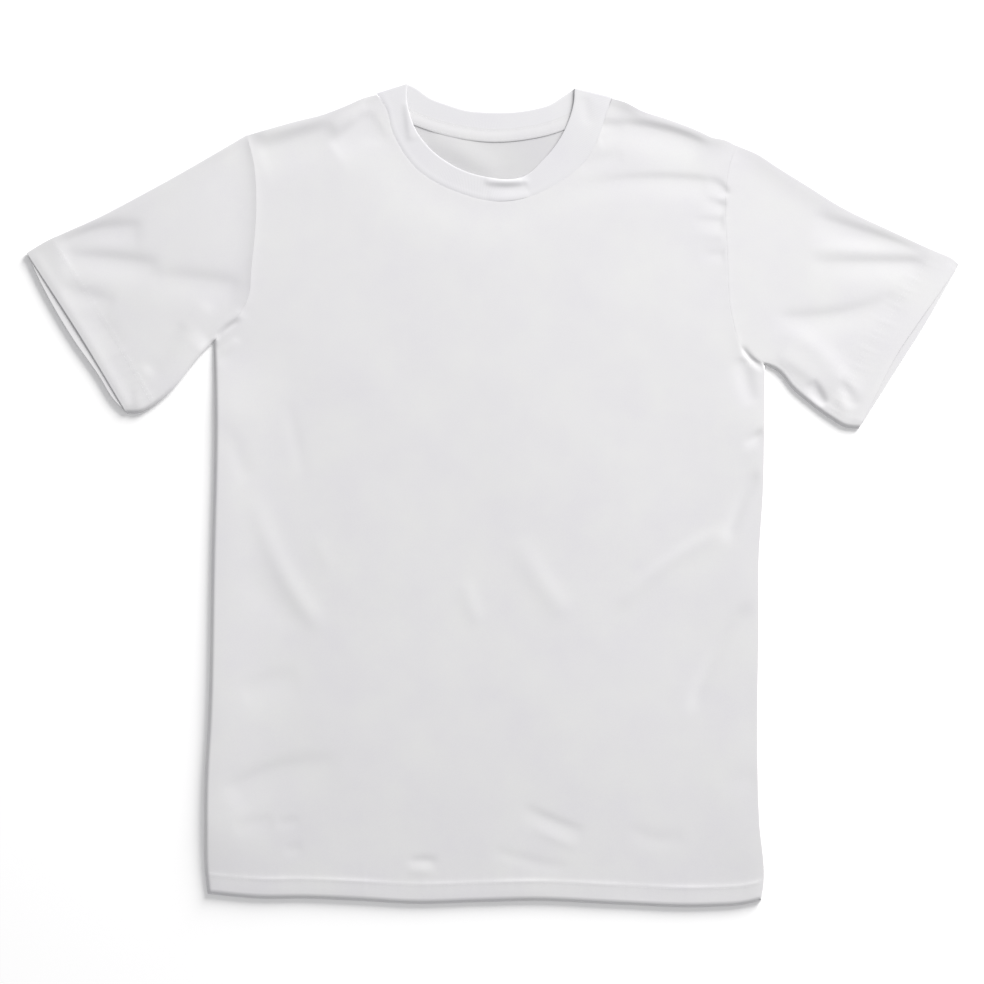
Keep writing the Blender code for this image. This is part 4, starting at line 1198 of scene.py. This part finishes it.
def floor_material():
    """A smooth white painted board, lit until it is pure white."""
    lit = {"Emission_Color": (1, 1, 1, 1), "Emission_Strength": 0.06}
    return new_material("painted_board", "FDFDFD", Roughness=0.9, Specular_IOR_Level=0.0, **lit)[0]


# ---------------------------------------------------------------- stage

LENS, SENSOR = 85.0, 36.0
FRAME_WIDTH = 905.3  # of the surface, across the picture
PICTURE_CENTRE = (-0.92, 0.0)
KEY_DISTANCE, KEY_HEIGHT_ANGLE, KEY_SIZE, KEY_WATTS = 4800, 19, 2850, 468
KEY_COLOUR, SKY_COLOUR, SKY = (1.0, 0.993, 0.985), (0.985, 0.985, 1.0), 0.50
FLOOR_REACH, FLOOR_DROP = 4000.0, 0.05  # to each side, and how far under the cloth it lies


def make_stage():
    mesh = bmesh.new()
    bmesh.ops.create_grid(mesh, x_segments=1, y_segments=1, size=FLOOR_REACH * MM)
    bmesh.ops.translate(mesh, verts=mesh.verts, vec=(0, 0, -FLOOR_DROP * MM))
    data = bpy.data.meshes.new("floor")
    mesh.to_mesh(data)
    mesh.free()
    data.materials.append(floor_material())
    placed("floor", data)


def make_camera():
    data = bpy.data.cameras.new("camera")
    data.lens, data.sensor_width = LENS, SENSOR
    data.clip_end = 50
    camera = placed("camera", data)
    camera.location = Vector((*PICTURE_CENTRE, FRAME_WIDTH * LENS / SENSOR)) * MM
    bpy.context.scene.camera = camera


def make_lights():
    data = bpy.data.lights.new("key", "AREA")
    data.shape, data.size, data.energy = "DISK", KEY_SIZE * MM, KEY_WATTS
    data.color = KEY_COLOUR
    key = placed("key", data)
    up = np.radians(KEY_HEIGHT_ANGLE)
    key.location = Vector((*(KEY_WAY * np.cos(up)), np.sin(up))) * KEY_DISTANCE * MM
    key.rotation_euler = key.location.to_track_quat("Z", "Y").to_euler()
    world = bpy.data.worlds.new("sky")
    world.use_nodes = True
    sky = world.node_tree.nodes["Background"]
    sky.inputs["Color"].default_value = (*SKY_COLOUR, 1)
    sky.inputs["Strength"].default_value = SKY
    bpy.context.scene.world = world
    bpy.context.scene.view_settings.view_transform = "Standard"


# ---------------------------------------------------------------- the shirt


def declare(node):
    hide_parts(node)


def main():
    jersey = jersey_material("cotton_single_jersey", CLOTH_TINT)
    rib, thread = rib_material(), thread_material()
    front, front_rows = make_front(jersey)
    # the back's inside takes the purl side, whose darker colour is painted shade
    back, back_rows = make_back(jersey, purl_side_shade_material())
    neckband = make_neckband(rib)
    # the tape's darker colour is painted shade
    tape, tape_rows = make_tape(jersey_material("cotton_jersey_tape_painted_shade", TAPE_SHADE_TINT))
    front_thread = stitches("front_stitches", front_rows, thread)
    back_thread = stitches("back_stitches", back_rows, thread)
    tape_thread = stitches("tape_stitches", tape_rows, thread)
    declare("front")
    declare("back")
    declare("neckband")
    declare("neck_tape")
    for side in (RIGHT, LEFT):
        sleeve, rows = make_sleeve(side, jersey)
        sewn = stitches(f"sleeve_{SIDE_NAMES[side]}_stitches", rows, thread)
        declare(f"sleeve_{SIDE_NAMES[side]}")


make_stage()
make_camera()
make_lights()
main()
